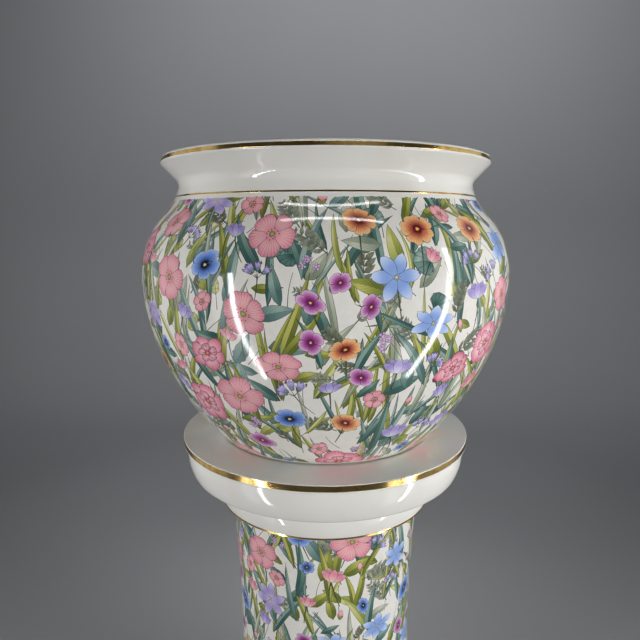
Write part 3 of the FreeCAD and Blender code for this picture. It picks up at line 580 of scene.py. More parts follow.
BOWL_FOOT = (139.13, 572.23)
BOWL_NECK = (186.41, 893.59)
BOWL_OUTER = (
    (220.90, 711.20, 327.77),
    (229.54, 787.10, 225.70),
    (201.00, 851.50, 100.10),
    (183.36, 880.40, -75.0),
    (*BOWL_NECK, -13.0),
)
BOWL_SECTION = (
    (0, 575.5, 0),
    (121.9, 575.5, 0),
    (123.4, 574.0, -1.5),
    (123.4, 572.7, 0),
    (124.6, 571.5, 1.2),
    (137.37, 571.5, 0),
    (*BOWL_FOOT, 2.5),
    *BOWL_OUTER,
    (201.2, 908.7, 0),
    (202.6, 911.4, 3.6),
    (201.7, 916.1, 0),
    (195.85, 916.1, 3.008),
    (179.98, 899.88, 0),
    (174.82, 877.56, 22.0),
    (194.59, 845.21, 84.0),
    (220.55, 786.59, -91.1),
    (212.26, 713.72, -216.7),
    (151.04, 598.71, -318.77),
    (124.9, 586.5, -34.0),
    (0, 586.5, 0),
)
MAT_SECTION = ((0, 570.0, 0), (134, 570.0, 0), (134, 571.5, 1.6), (0, 571.5, 0))
TOP_DISC_SECTION = (
    (0, 560.3, 0),
    (188.0, 560.3, 0),
    (188.9, 561.2, 0.9),
    (188.9, 569.1, 0),
    (188.0, 570.0, 0.9),
    (0, 570.0, 0),
)
PLINTH_SECTION = (
    (151.2, 2.0, 0),
    (193.8, 2.0, 0),
    (195.0, 3.2, 1.2),
    (195.0, 14.8, 0),
    (193.8, 16.0, 1.2),
    (151.2, 16.0, 0),
    (150.0, 14.8, 1.2),
    (150.0, 3.2, 0),
    (151.2, 2.0, 1.2),
)
CAPITAL_SECTION = (
    (118.7, 479.2, 0),
    (119.9, 478.0, 1.2),
    (139.9, 478.0, 0),
    (141.1, 479.2, 1.2),
    (141.1, 481.6, 0),
    (140.4, 519.3, 66.0),
    (140.9, 519.8, -0.5),
    (171.6, 519.8, 0),
    (178.87, 524.40, 8.0),
    (181.9, 560.3, 52.0),
    (169.8, 560.3, 0),
    (169.8, 534.8, 0),
    (165.8, 530.8, -4.0),
    (130.0, 530.8, 0),
    (118.7, 519.5, 11.3),
)
COLUMN_SECTION = (
    (109.0, 76.3, 0),
    (117.9, 76.3, 0),
    (117.9, 100.3, 0),
    (126.1, 100.3, 0),
    (126.9, 101.1, 0.8),
    (126.9, 475.2, -2080.0),
    (126.1, 476.0, 0.8),
    (117.9, 476.0, 0),
    (117.9, 500.0, 0),
    (109.0, 500.0, 0),
)
UNGLAZED_BELOW = 573.0
# The column's two ends are as high as each other above and below half this height.
STAND_HEIGHT_SUM = 576.3


def upside_down(rows):
    """A section turned over about the column's half height, still the same way round."""
    curves = [row[2] for row in rows]
    curves = curves[1:] + curves[:1]
    turned_over = []
    for (reach, height, _), curve in zip(rows, curves):
        turned_over.append((reach, STAND_HEIGHT_SUM - height, curve))
    return tuple(reversed(turned_over))


turned("bowl", "bowl", "white_glaze", BOWL_SECTION, "jardiniere_bowl", bare=UNGLAZED_BELOW)
turned("mat", "mat", "felt", MAT_SECTION, "bowl_mat")
turned("top_disc", "stand", "white_glaze", TOP_DISC_SECTION, "stand_top_disc")
turned("capital", "stand", "white_glaze", CAPITAL_SECTION, "capital_moulding")
turned("column", "stand", "white_glaze", COLUMN_SECTION, "stand_column")
turned("base", "stand", "white_glaze", upside_down(CAPITAL_SECTION), "base_moulding")
turned("plinth", "stand", "white_glaze", PLINTH_SECTION, "stand_plinth")

for node_name, finish_name in (
    ("foot_pads", "felt"),
    ("upper_joint_bed", "bedding_cement"),
    ("lower_joint_bed", "bedding_cement"),
):
    node_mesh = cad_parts[node_name].data
    node_mesh.materials.clear()
    node_mesh.materials.append(FINISHES[finish_name])

# ---------------------------------------------------------------- gilded bands

GILDING_PROUD = 0.16
GILDING_SUNK = 0.15
GILDING_EDGE = 0.35
GILDING_UNSTEADY = 0.10


def band_rows(low, high, curve=0):
    """A thin band's closed section on the wall from low to high, with rounded edges."""
    across, up = high[0] - low[0], high[1] - low[1]
    reach = math.hypot(across, up)
    along = (across / reach, up / reach)
    out = (along[1], -along[0])

    def spot(start, forward, proud, bend):
        return (
            start[0] + along[0] * forward + out[0] * proud,
            start[1] + along[1] * forward + out[1] * proud,
            bend,
        )

    edge = GILDING_EDGE
    proud = GILDING_PROUD
    bend = (edge * edge + proud * proud) / (2 * proud)
    return (
        spot(low, 0, -GILDING_SUNK, 0),
        spot(low, 0, 0, 0),
        spot(low, edge, proud, bend),
        spot(high, -edge, proud, curve),
        spot(high, 0, 0, bend),
        spot(high, 0, -GILDING_SUNK, 0),
    )


GILDED_BANDS = (
    ("lip_gold", "bowl", "lip_gilding", (202.55, 911.7), (201.77, 915.8), 0),
    ("neck_gold", "bowl", "neck_gilding", (187.30, 870.75), (186.45, 872.65), -75.0),
    ("disc_gold", "stand", "top_disc_gilding", (188.9, 562.3), (188.9, 569.1), 0),
    ("capital_gold", "stand", "capital_ring_gilding", (141.1, 478.9), (141.1, 481.4), 0),
    ("base_gold", "stand", "base_ring_gilding", (141.1, 94.9), (141.1, 97.4), 0),
    ("plinth_gold", "stand", "plinth_gilding", (195.0, 8.0), (195.0, 14.8), 0),
)
for name, body, node_name, low, high, curve in GILDED_BANDS:
    rows = band_rows(low, high, curve)
    turned(name, body, "gilding", rows, node_name, unsteady=GILDING_UNSTEADY)

# ---------------------------------------------------------------- the print's motifs

LEAF_TEAL = ((0.22, 0.36, 0.34), (0.34, 0.48, 0.45), (0.54, 0.65, 0.60))
LEAF_SEA = ((0.31, 0.44, 0.42), (0.45, 0.57, 0.55), (0.64, 0.72, 0.68))
LEAF_OLIVE = ((0.40, 0.44, 0.18), (0.57, 0.60, 0.26), (0.76, 0.75, 0.42))
LEAF_LIME = ((0.52, 0.55, 0.24), (0.69, 0.71, 0.38), (0.84, 0.83, 0.58))
LEAF_SAGE = ((0.50, 0.55, 0.47), (0.65, 0.68, 0.60), (0.80, 0.81, 0.74))
FERN_GREY = ((0.42, 0.45, 0.36), (0.54, 0.57, 0.47), (0.66, 0.68, 0.58))
STEM_GREEN = ((0.30, 0.38, 0.26), (0.42, 0.50, 0.34), (0.52, 0.58, 0.40))
GROUND = (0.895, 0.885, 0.86)

# Petal colours go from the flower's middle to the petal's edge.
PRIMROSE = (
    (0.30, 0.06, 0.12), (0.45, 0.12, 0.18), (0.80, 0.45, 0.32),
    (0.93, 0.70, 0.48), (0.95, 0.78, 0.58),
)
WILD_ROSE = (
    (0.86, 0.50, 0.57), (0.92, 0.63, 0.67), (0.94, 0.71, 0.73),
    (0.93, 0.68, 0.71), (0.86, 0.52, 0.60),
)
RUFFLED = (
    (0.70, 0.20, 0.34), (0.84, 0.42, 0.52), (0.95, 0.78, 0.80),
    (0.92, 0.64, 0.70), (0.84, 0.42, 0.54),
)
BLUE_EYE = (
    (0.05, 0.05, 0.10), (0.10, 0.12, 0.26), (0.36, 0.50, 0.80),
    (0.48, 0.62, 0.88), (0.70, 0.79, 0.95),
)
SKY_STAR = (
    (0.62, 0.72, 0.90), (0.52, 0.64, 0.87), (0.56, 0.68, 0.90),
    (0.72, 0.80, 0.94), (0.85, 0.89, 0.97),
)
CLEMATIS = (
    (0.88, 0.84, 0.90), (0.72, 0.67, 0.85), (0.66, 0.60, 0.83),
    (0.75, 0.71, 0.88), (0.84, 0.82, 0.93),
)
MAGENTA = (
    (0.22, 0.05, 0.16), (0.48, 0.14, 0.40), (0.66, 0.32, 0.60),
    (0.80, 0.56, 0.76), (0.90, 0.77, 0.88),
)
CROCUS = (
    (0.88, 0.86, 0.88), (0.78, 0.75, 0.88), (0.68, 0.63, 0.84),
    (0.60, 0.54, 0.80), (0.76, 0.72, 0.90),
)
TULIP = (
    (0.93, 0.84, 0.78), (0.93, 0.74, 0.74), (0.90, 0.62, 0.67),
    (0.86, 0.50, 0.60), (0.94, 0.76, 0.80),
)
BELL = (
    (0.42, 0.36, 0.66), (0.53, 0.46, 0.76), (0.66, 0.61, 0.85),
    (0.78, 0.75, 0.91), (0.62, 0.55, 0.80),
)
BUD_PINK = (
    (0.74, 0.30, 0.42), (0.84, 0.45, 0.54), (0.92, 0.65, 0.70),
    (0.95, 0.76, 0.78), (0.90, 0.60, 0.66),
)
FILLER = (
    (0.92, 0.85, 0.60), (0.80, 0.60, 0.80), (0.77, 0.62, 0.84),
    (0.84, 0.74, 0.90), (0.90, 0.84, 0.94),
)


# Each part carries its distance to its outline, in millimetres, and the printed glaze inks what
# is nearer than about 0.4. These stand for that distance where it isn't measured.
NO_INK = 9.0
FAINT_INK = 0.44
STALK_INK = 0.37
# Added to a distance that is measured, so that no rim is at 0.
HAIR = 0.02
NO_VEIN = 0.5
LOOKS = 6


class Spot:
    """A place on a print: the turn and the run of its middle, a heading and a foreshortening."""

    def __init__(self, turn, run, heading=0.0, squash=1.0, lean=0.0):
        self.turn = turn
        self.run = run
        self.heading = heading
        self.squash = squash
        self.lean = lean

    def headed(self, heading):
        return Spot(self.turn, self.run, self.heading + heading, self.squash, self.lean)

    def moved(self, reach, angle, wall):
        """The place at a distance from this one, and headed away from it."""
        run = self.run + reach * math.sin(angle)
        radius = float(wall.at(np.clip(run, 0, wall.length))[0])
        return Spot(self.turn + reach * math.cos(angle) / radius, run, angle)

    def put(self, forward, side, wall):
        """A motif's own millimetres as a turn and a run on the wall."""
        cos, sin = math.cos(self.heading), math.sin(self.heading)
        across = forward * cos - side * sin
        up = forward * sin + side * cos
        cos, sin = math.cos(self.lean), math.sin(self.lean)
        long = across * cos + up * sin
        short = (up * cos - across * sin) * self.squash
        across = long * cos - short * sin
        up = long * sin + short * cos
        radius = wall.at(np.clip(self.run + up, 0, wall.length))[0]
        return self.turn + across / radius, self.run + up


class Patch:
    """One painted part of a motif: a net of corners with what each carries."""

    SAME = 1e-3
    FLAT = 1e-7

    def __init__(self, turn, run, looks, round_disc):
        self.turn = turn
        self.run = run
        self.looks = looks
        self.round_disc = round_disc
        self.middle = float(turn.mean())

    def net(self, low, flat):
        """Its corners on a flat sheet that starts at a turn, in millimetres."""
        away = self.turn - low
        return np.stack([away * flat, self.run], 2)

    def loop(self, net):
        """The outline of the net, counter-clockwise."""
        if self.round_disc:
            ring = net[-1, :-1]
        else:
            ring = np.concatenate([net[:, 0], net[-1, 1:], net[-2::-1, -1], net[0, -2:0:-1]])
        apart = np.hypot(*(ring - np.roll(ring, 1, axis=0)).T) > self.SAME
        ring = ring[apart]
        after = np.roll(ring, -1, axis=0)
        area = (ring[:, 0] * after[:, 1] - ring[:, 1] * after[:, 0]).sum()
        return [tuple(spot) for spot in (ring if area > 0 else ring[::-1]).tolist()]

    def read(self, net, places):
        """What the patch carries at places on it."""
        rows, columns = net.shape[0] - 1, net.shape[1] - 1
        first = (np.arange(rows)[:, None] * (columns + 1) + np.arange(columns)[None, :]).ravel()
        facets = np.concatenate([
            np.stack([first, first + 1, first + columns + 2], 1),
            np.stack([first, first + columns + 2, first + columns + 1], 1),
        ])
        spots = net.reshape(-1, 2)
        looks = self.looks.reshape(-1, self.looks.shape[-1])
        a, b, c = (spots[facets[:, k]][None] for k in range(3))
        u, v, w = b - a, c - a, places[:, None] - a
        area = u[..., 0] * v[..., 1] - u[..., 1] * v[..., 0]
        flat_facet = np.abs(area) < self.FLAT
        area = np.where(flat_facet, 1.0, area)
        share_b = (w[..., 0] * v[..., 1] - w[..., 1] * v[..., 0]) / area
        share_c = (u[..., 0] * w[..., 1] - u[..., 1] * w[..., 0]) / area
        shares = np.stack([1 - share_b - share_c, share_b, share_c], 2)
        depth = np.where(flat_facet, -np.inf, shares.min(2))
        best = depth.argmax(1)
        chosen = np.clip(shares[np.arange(len(places)), best], 0, 1)
        chosen /= chosen.sum(1, keepdims=True)
        return (looks[facets[best]] * chosen[:, :, None]).sum(1)


def cut_to_box(loop, low, high):
    """The part of a loop that lies in a box."""
    for axis in (0, 1):
        for sense, limit in ((1, low[axis]), (-1, high[axis])):
            kept = []
            for here, after in zip(loop, loop[1:] + loop[:1]):
                inside = (here[axis] - limit) * sense >= 0
                if inside:
                    kept.append(here)
                if inside != ((after[axis] - limit) * sense >= 0):
                    share = (limit - here[axis]) / (after[axis] - here[axis])
                    beside = here[1 - axis] + share * (after[1 - axis] - here[1 - axis])
                    kept.append((limit, beside) if axis == 0 else (beside, limit))
            loop = kept
            if len(loop) < 3:
                return []
    return loop


def loop_area(loop):
    """The area in a counter-clockwise loop."""
    return sum(a[0] * b[1] - a[1] * b[0] for a, b in zip(loop, loop[1:] + loop[:1])) / 2


def inside_loop(loop, places):
    """Which places lie in a loop, by the edges that a line to the right of each would cross."""
    inside = np.zeros(len(places), bool)
    for start, end in zip(loop, loop[1:] + loop[:1]):
        passed = (start[1] > places[:, 1]) != (end[1] > places[:, 1])
        if passed.any():
            slope = (end[0] - start[0]) / (end[1] - start[1])
            inside ^= passed & (places[:, 0] < start[0] + (places[:, 1] - start[1]) * slope)
    return inside


class Transfer:
    """A printed transfer: painted patches laid over one another, wrapped round a turned wall."""

    LIFT = 0.22
    TUCK = -0.10
    GRID = 7.0
    TILE = 45.0
    LEAST_AREA = 0.02
    INSET = 0.1
    CHART_EDGE = 0.01
    CLOSE = 1e-4
    STAGGER = 0.25

    def __init__(self, name, wall):
        self.name = name
        self.wall = wall
        self.patches = []

    def patch(self, spot, shape, colours, rows, columns, veins, strength, sides=(-1, 1), tone=1.0,
              round_disc=False):
        """Paints one part. Its shape maps (along 0 to 1, across -1 to 1) to millimetres."""
        along, across = np.meshgrid(
            np.linspace(0, 1, rows + 1), np.linspace(*sides, columns + 1), indexing="ij"
        )
        forward, side, rim = shape(along, across)
        turn, run = spot.put(forward, side, self.wall)
        stops = np.linspace(0, 1, len(colours))
        mixed = [np.interp(along, stops, [linear(c)[k] for c in colours]) * tone for k in range(3)]
        look = [*mixed, np.full_like(along, strength), veins(along, across), rim]
        self.patches.append(Patch(turn, run, np.stack(look, 2), round_disc))

    def pieces(self, body, node, cuts, start):
        """Cuts the transfer into sheets that cover the same turn each, and makes their meshes."""
        span = FULL_TURN / cuts
        flat = float(self.wall.table[:, 0].max())
        for cut in range(cuts):
            low = start + cut * span
            near = []
            for patch in self.patches:
                shift = round((patch.middle - low - span / 2) / FULL_TURN) * FULL_TURN
                net = patch.net(low + shift, flat)
                if net[..., 0].max() > 0 and net[..., 0].min() < span * flat:
                    near.append((patch, net, patch.loop(net)))
            self.sheet(f"{self.name}_{cut + 1}", body, node, near, low, span * flat, flat)

    def sheet(self, name, body, node, near, low, wide, flat):
        """One sheet, tile by tile. A tile's corners on its edges are its neighbour's too."""
        tall = self.wall.length
        across_tiles = round(wide / self.TILE)
        up_tiles = round(tall / self.TILE)
        spots = []
        triangles = []
        owners = []
        count = 0
        for i in range(across_tiles):
            for j in range(up_tiles):
                box_low = (wide * i / across_tiles, tall * j / up_tiles)
                box_high = (wide * (i + 1) / across_tiles, tall * (j + 1) / up_tiles)
                found, kept, owner = self.tile(near, box_low, box_high)
                spots.append(found)
                triangles.append(kept + count)
                owners.append(owner)
                count += len(found)
        spots = np.concatenate(spots)
        triangles = np.concatenate(triangles)
        owners = np.concatenate(owners)
        merged = np.unique(np.round(spots, 3), axis=0, return_index=True, return_inverse=True)
        spots = spots[merged[1]]
        triangles = merged[2].ravel()[triangles]
        whole = (triangles != np.roll(triangles, 1, axis=1)).all(1)
        triangles = triangles[whole]
        owners = owners[whole]
        ground = np.array([*linear(GROUND), 0.0, NO_VEIN, NO_INK])
        looks = np.tile(ground, (len(owners), 3, 1))
        order = np.argsort(owners, kind="stable")
        edges = np.searchsorted(owners[order], np.arange(len(near) + 1))
        for index, (patch, net, _) in enumerate(near):
            mine = order[edges[index]: edges[index + 1]]
            if len(mine):
                places = spots[triangles[mine]].reshape(-1, 2)
                looks[mine] = patch.read(net, places).reshape(-1, 3, LOOKS)
        self.make_mesh(name, body, node, spots, triangles, looks, low, wide, flat)

    def tile(self, near, low, high):
        """The triangles of one tile of a sheet, and the patch that is on top in each."""
        steps = max(1, round((high[0] - low[0]) / self.GRID))
        rises = max(1, round((high[1] - low[1]) / self.GRID))
        ticks = [low[0] + (high[0] - low[0]) * i / steps for i in range(steps)] + [high[0]]
        marks = [low[1] + (high[1] - low[1]) * j / rises for j in range(rises)] + [high[1]]
        points = [(tick, low[1]) for tick in ticks[:-1]]
        points += [(high[0], mark) for mark in marks[:-1]]
        points += [(tick, high[1]) for tick in ticks[:0:-1]]
        points += [(low[0], mark) for mark in marks[:0:-1]]
        faces = [list(range(len(points)))]
        for index, mark in enumerate(marks[1:-1]):
            stagger = (1 if index % 2 else -1) * self.STAGGER * (high[0] - low[0]) / steps
            points += [(tick + stagger, mark) for tick in ticks[1:-1]]
        cuts = []
        low_inset = np.array(low) + self.INSET
        high_inset = np.array(high) - self.INSET
        for index, (patch, net, loop) in enumerate(near):
            if (net.min((0, 1)) >= high).any() or (net.max((0, 1)) <= low).any():
                continue
            cut = cut_to_box(loop, low, high)
            if not cut or loop_area(cut) < self.LEAST_AREA:
                continue
            faces.append(list(range(len(points), len(points) + len(cut))))
            points += cut
            cuts.append((index, cut))
            inner = net[1:-1, 1:-1] if not patch.round_disc else net[:1, :1]
            for spot in inner.reshape(-1, 2):
                if (spot > low_inset).all() and (spot < high_inset).all():
                    points.append(tuple(spot.tolist()))
        corners = [Vector(spot) for spot in points]
        result = delaunay_2d_cdt(corners, [], faces, 0, self.CLOSE, True)
        found = np.array([tuple(spot) for spot in result[0]])
        triangles = np.array([tri for tri, src in zip(result[2], result[5]) if src])
        middles = found[triangles].mean(1)
        owners = np.full(len(triangles), -1)
        for index, cut in cuts:
            owners[inside_loop(cut, middles)] = index
        return found, triangles, owners

    def make_mesh(self, name, body, node, spots, triangles, looks, low, wide, flat):
        used, number = np.unique(triangles, return_inverse=True)
        number = number.reshape(-1, 3)
        spots = spots[used]
        turn = low + spots[:, 0] / flat
        radius, height, out, up = self.wall.at(spots[:, 1])
        tall = self.wall.length
        edge = (spots[:, 1] < Patch.SAME) | (spots[:, 1] > tall - Patch.SAME)
        lift = np.where(edge, self.TUCK, self.LIFT)
        reach = radius + out * lift
        rise = height + up * lift
        corners = np.stack([reach * np.cos(turn), reach * np.sin(turn), rise], 1) * MM
        normals = np.stack([out * np.cos(turn), out * np.sin(turn), up], 1)
        mesh = bpy.data.meshes.new(name)
        mesh.from_pydata(corners.tolist(), [], number.tolist())
        flat_looks = looks.reshape(-1, LOOKS)
        colour = mesh.color_attributes.new("paint", "FLOAT_COLOR", "CORNER")
        colour.data.foreach_set("color", flat_looks[:, :4].ravel().astype(np.float32))
        detail = mesh.attributes.new("lines", "FLOAT_VECTOR", "CORNER")
        padded = np.concatenate([flat_looks[:, 4:], np.zeros((len(flat_looks), 1))], 1)
        detail.data.foreach_set("vector", padded.ravel().astype(np.float32))
        chart = mesh.uv_layers.new(name="OFBake")
        share = np.stack([spots[:, 0] / wide, spots[:, 1] / tall], 1)
        share = share * (1 - 2 * self.CHART_EDGE) + self.CHART_EDGE
        chart.data.foreach_set("uv", share[number.ravel()].ravel().astype(np.float32))
        mesh.materials.append(FINISHES["printed_glaze"])
        mesh.shade_smooth()
        mesh.normals_split_custom_set_from_vertices(normals.tolist())
        finish_object(bpy.data.objects.new(name, mesh), body, node)


def leafy(length, width, belly=0.7, blunt=0.9, bend=0.0, wave=0.0, lobes=0):
    """A long shape pointed at both ends, on a bent spine."""

    def shape(along, across):
        half = width / 2 * np.sin(np.pi * np.clip(along, 1e-6, 1) ** belly) ** blunt
        half = half + 0.025 * width * (1 - along)
        if lobes:
            half = half * (1 + wave * np.sin(lobes * np.pi * along))
        angle = 2 * bend * along / length
        forward = length * along - across * half * np.sin(angle)
        side = bend * along**2 + across * half * np.cos(angle)
        return forward, side, (1 - np.abs(across)) * half + HAIR

    return shape


def softly_inked(shape):
    """The same shape, too narrow for an outline, under an even trace of ink."""

    def fine(along, across):
        forward, side, rim = shape(along, across)
        return forward, side, np.full_like(rim, FAINT_INK)

    return fine


def fan(length, spread, droop=0.28, ruffle=0.0, waves=5, phase=0.0, notch=0.0):
    """A broad petal that opens from a flower's middle."""

    def shape(along, across):
        edge = 1 - droop * np.abs(across) ** 3 - notch * np.exp(-((across / 0.22) ** 2))
        edge = edge + ruffle * np.sin(waves * across * np.pi + phase)
        reach = length * along * (1 + (edge - 1) * along)
        angle = spread * across * (0.94 + 0.06 * along)
        rim = np.minimum((1 - np.abs(across)) * spread * reach, (1 - along) * length)
        rim = np.where(along < 0.15, NO_INK, rim)
        return reach * np.cos(angle), reach * np.sin(angle), rim + HAIR

    return shape


def bell_shape(length, width):
    """A bell seen from the side, with a scalloped mouth."""

    def shape(along, across):
        half = width / 2 * (0.22 + 0.50 * np.sin(np.pi / 2 * np.clip(along * 1.5, 0, 1)))
        half = half + width * 0.16 * along**5
        forward = length * (along + 0.16 * along**5 * np.cos(3 * np.pi * across))
        rim = np.minimum((1 - np.abs(across)) * half, (1 - along) * length)
        return forward, across * half, rim + HAIR

    return shape


def no_veins(along, across):
    return np.full_like(along, NO_VEIN)


def blade_veins(along, across):
    return 3.0 * np.abs(across) + 0.5


def leaf_veins(along, across):
    return 8.0 * along - 2.6 * np.abs(across)


def petal_veins(along, across):
    return 4.5 * across


def paint_halves(transfer, spot, shape, lit, bright, dull, rows, veins, strength):
    """A leaf in two halves, with the one on the side lit in brighter colours."""
    for side, colours in ((lit, bright), (-lit, dull)):
        sides = (0, 1) if side > 0 else (-1, 0)
        transfer.patch(spot, shape, colours, rows, 1, veins, strength, sides)


def paint_blade(transfer, rng, spot, length, width, greens, bend):
    shape = leafy(length, width, rng.uniform(0.55, 0.8), rng.uniform(0.6, 0.8), bend)
    dark, mid, light = greens
    bright = (dark, mid, light, mid) if rng.random() < 0.5 else (mid, light, light, mid)
    dull = (dark, dark, mid, dark)
    paint_halves(transfer, spot, shape, rng.choice((-1, 1)), bright, dull, 7, blade_veins, 0.35)


def paint_leaf(transfer, rng, spot, length, width, greens):
    lobes = rng.choice((0, 0, 0, 9))
    bend = rng.uniform(-0.22, 0.22) * length
    shape = leafy(length, width, rng.uniform(0.68, 0.85), 0.9, bend, 0.10, lobes)
    dark, mid, light = greens
    bright = (dark, mid, light, mid)
    dull = (dark, dark, mid, mid)
    paint_halves(transfer, spot, shape, 1, bright, dull, 11 if lobes else 6, leaf_veins, 0.5)


def paint_stem(transfer, spot, length, bend, width=1.5, greens=STEM_GREEN):
    def shape(along, across):
        half = width / 2 * (1 - 0.35 * along)
        rim = np.full_like(across, STALK_INK)
        return length * along, bend * along**2 + across * half, rim

    transfer.patch(spot, shape, greens, 5, 1, no_veins, 0.0)


def paint_disc(transfer, spot, radius, colours):
    """A flower's eye, with six shallow lobes."""

    def shape(along, across):
        angle = np.pi * across
        reach = radius * along * (1 - 0.15 * np.cos(6 * angle))
        return reach * np.cos(angle), reach * np.sin(angle), (1 - along) * radius + HAIR

    transfer.patch(spot, shape, colours, 1, 9, no_veins, 0.0, round_disc=True)


def paint_dots(transfer, rng, spot, count, near, far, size, colours):
    """Anthers: small dots in a ring round a flower's middle."""
    for index in range(count):
        angle = FULL_TURN * index / count + rng.uniform(-0.2, 0.2)
        reach = rng.uniform(near, far)

        def shape(along, across, angle=angle, reach=reach):
            turn = np.pi * across
            forward = reach * math.cos(angle) + size * along * np.cos(turn)
            side = reach * math.sin(angle) + size * along * np.sin(turn)
            return forward, side, np.full_like(along, NO_INK)

        transfer.patch(spot, shape, colours, 1, 5, no_veins, 0.0, round_disc=True)


def ring_order(count):
    """Petal numbers in the order they are painted, so that neighbours overlap."""
    return [*range(0, count, 2), *range(1, count, 2)]


def paint_petals(transfer, rng, spot, count, length, spread, colours, strength=0.45, **form):
    start = rng.uniform(0, FULL_TURN)
    for index in ring_order(count):
        angle = start + FULL_TURN * index / count + rng.uniform(-0.07, 0.07)
        reach = length * rng.uniform(0.92, 1.06)
        shape = fan(reach, spread, phase=rng.uniform(0, 6), **form)
        tone = rng.uniform(0.90, 1.05)
        net = (4, 6) if length > 12 else (3, 4)
        transfer.patch(spot.headed(angle), shape, colours, *net, petal_veins, strength, tone=tone)


def paint_primrose(transfer, rng, spot, size):
    paint_petals(transfer, rng, spot, 5, size, 0.70, PRIMROSE, notch=0.13, droop=0.22)
    paint_disc(transfer, spot, size * 0.12, ((0.93, 0.83, 0.35), (0.86, 0.66, 0.25)))


def paint_wild_rose(transfer, rng, spot, size):
    paint_petals(transfer, rng, spot, 5, size, 0.74, WILD_ROSE, 0.55, ruffle=0.035, notch=0.05)
    paint_dots(transfer, rng, spot, 10, size * 0.20, size * 0.30, 0.75, ((0.32, 0.12, 0.16),) * 2)
    paint_disc(transfer, spot, size * 0.13, ((0.72, 0.76, 0.40), (0.42, 0.48, 0.22)))


def paint_ruffled(transfer, rng, spot, size):
    paint_petals(transfer, rng, spot, 6, size, 0.66, RUFFLED, 0.6, ruffle=0.07, waves=7)
    paint_petals(transfer, rng, spot, 5, size * 0.58, 0.62, RUFFLED, 0.6, ruffle=0.07, waves=5)
    for index in range(6):
        stalk = spot.headed(index * 1.05 + rng.uniform(-0.2, 0.2))
        reach = size * rng.uniform(0.34, 0.46)
        paint_stem(transfer, stalk, reach, rng.uniform(-1, 1), 0.8, ((0.55, 0.12, 0.25),) * 2)
    paint_dots(transfer, rng, spot, 7, size * 0.34, size * 0.46, 0.9, ((0.25, 0.06, 0.12),) * 2)
    paint_disc(transfer, spot, size * 0.09, ((0.90, 0.80, 0.45), (0.80, 0.55, 0.35)))


def paint_blue_eye(transfer, rng, spot, size):
    paint_petals(transfer, rng, spot, 5, size, 0.68, BLUE_EYE, 0.4, notch=0.06)
    paint_disc(transfer, spot, size * 0.11, ((0.95, 0.90, 0.62), (0.88, 0.80, 0.45)))


def paint_star(transfer, rng, spot, size, colours):
    start = rng.uniform(0, FULL_TURN)
    for index in ring_order(6):
        angle = start + FULL_TURN * index / 6 + rng.uniform(-0.12, 0.12)
        bend = rng.uniform(-0.18, 0.18) * size
        shape = leafy(size * rng.uniform(0.92, 1.1), size * 0.52, 1.15, 0.75, bend)
        transfer.patch(spot.headed(angle), shape, colours, 6, 2, petal_veins, 0.45)
    paint_dots(transfer, rng, spot, 8, size * 0.08, size * 0.17, 0.6, ((0.35, 0.25, 0.45),) * 2)
    paint_disc(transfer, spot, size * 0.08, ((0.90, 0.86, 0.50), (0.66, 0.66, 0.35)))


def paint_magenta(transfer, rng, spot, size):
    paint_petals(transfer, rng, spot, 4, size, 0.86, MAGENTA, 0.45, ruffle=0.03)
    paint_disc(transfer, spot, size * 0.12, ((0.95, 0.88, 0.50), (0.85, 0.72, 0.35)))


def paint_bell(transfer, rng, spot, size):
    shape = bell_shape(size, size * 0.85)
    transfer.patch(spot, shape, BELL, 4, 6, petal_veins, 0.4, tone=rng.uniform(0.9, 1.05))
    cap = leafy(size * 0.42, size * 0.42, 0.7, 0.8)
    transfer.patch(spot, cap, LEAF_SEA, 3, 2, no_veins, 0.0)


def paint_bell_spray(transfer, rng, spot, size):
    paint_stem(transfer, spot.headed(math.pi), size * 1.6, rng.uniform(-6, 6), 1.3)
    for turn in (-0.95, 0.95, -0.25, 0.45):
        part = spot.headed(turn + rng.uniform(-0.15, 0.15))
        paint_stem(transfer, part, size * 0.4, rng.uniform(-1, 1), 0.9)
        bell = part.moved(size * 0.35, part.heading, transfer.wall)
        paint_bell(transfer, rng, bell, size * rng.uniform(0.52, 0.66))


def paint_bud(transfer, rng, spot, size):
    shape = leafy(size, size * 0.52, 0.9, 0.7)
    transfer.patch(spot, shape, BUD_PINK, 5, 2, petal_veins, 0.5)
    for turn in (-0.32, 0.32):
        sepal = leafy(size * 0.55, size * 0.20, 0.8, 0.9, turn * 3)
        transfer.patch(spot.headed(turn), sepal, LEAF_OLIVE, 3, 2, no_veins, 0.0)


def paint_filler(transfer, rng, spot, size):
    for index in range(rng.choice((3, 4, 5))):
        angle = rng.uniform(0, FULL_TURN)
        small = spot.moved(rng.uniform(0.2, 0.9) * size, angle, transfer.wall)
        paint_petals(transfer, rng, small, 5, size * 0.42, 0.55, FILLER, 0.1)


# A goblet's petals from the back to the front: how far each leans out, its length and its tone.
GOBLET_PETALS = (
    (-0.30, 0.98, 0.9),
    (0.30, 1.0, 0.9),
    (-0.62, 0.92, 1.0),
    (0.62, 0.9, 1.0),
    (0.0, 0.9, 1.05),
)


def paint_goblet(transfer, rng, spot, size, colours):
    """A cup of upright petals seen from the side."""
    upright = spot.headed(math.pi / 2 - spot.heading + rng.uniform(-0.7, 0.7))
    paint_stem(transfer, upright.headed(math.pi), size * 1.5, rng.uniform(-9, 9), 1.7)
    for turn, reach, tone in GOBLET_PETALS:
        bend = turn * size * 0.25
        petal = leafy(size * reach, size * 0.44, 1.05, 0.7, bend)
        transfer.patch(upright.headed(turn), petal, colours, 6, 2, petal_veins, 0.5, tone=tone)


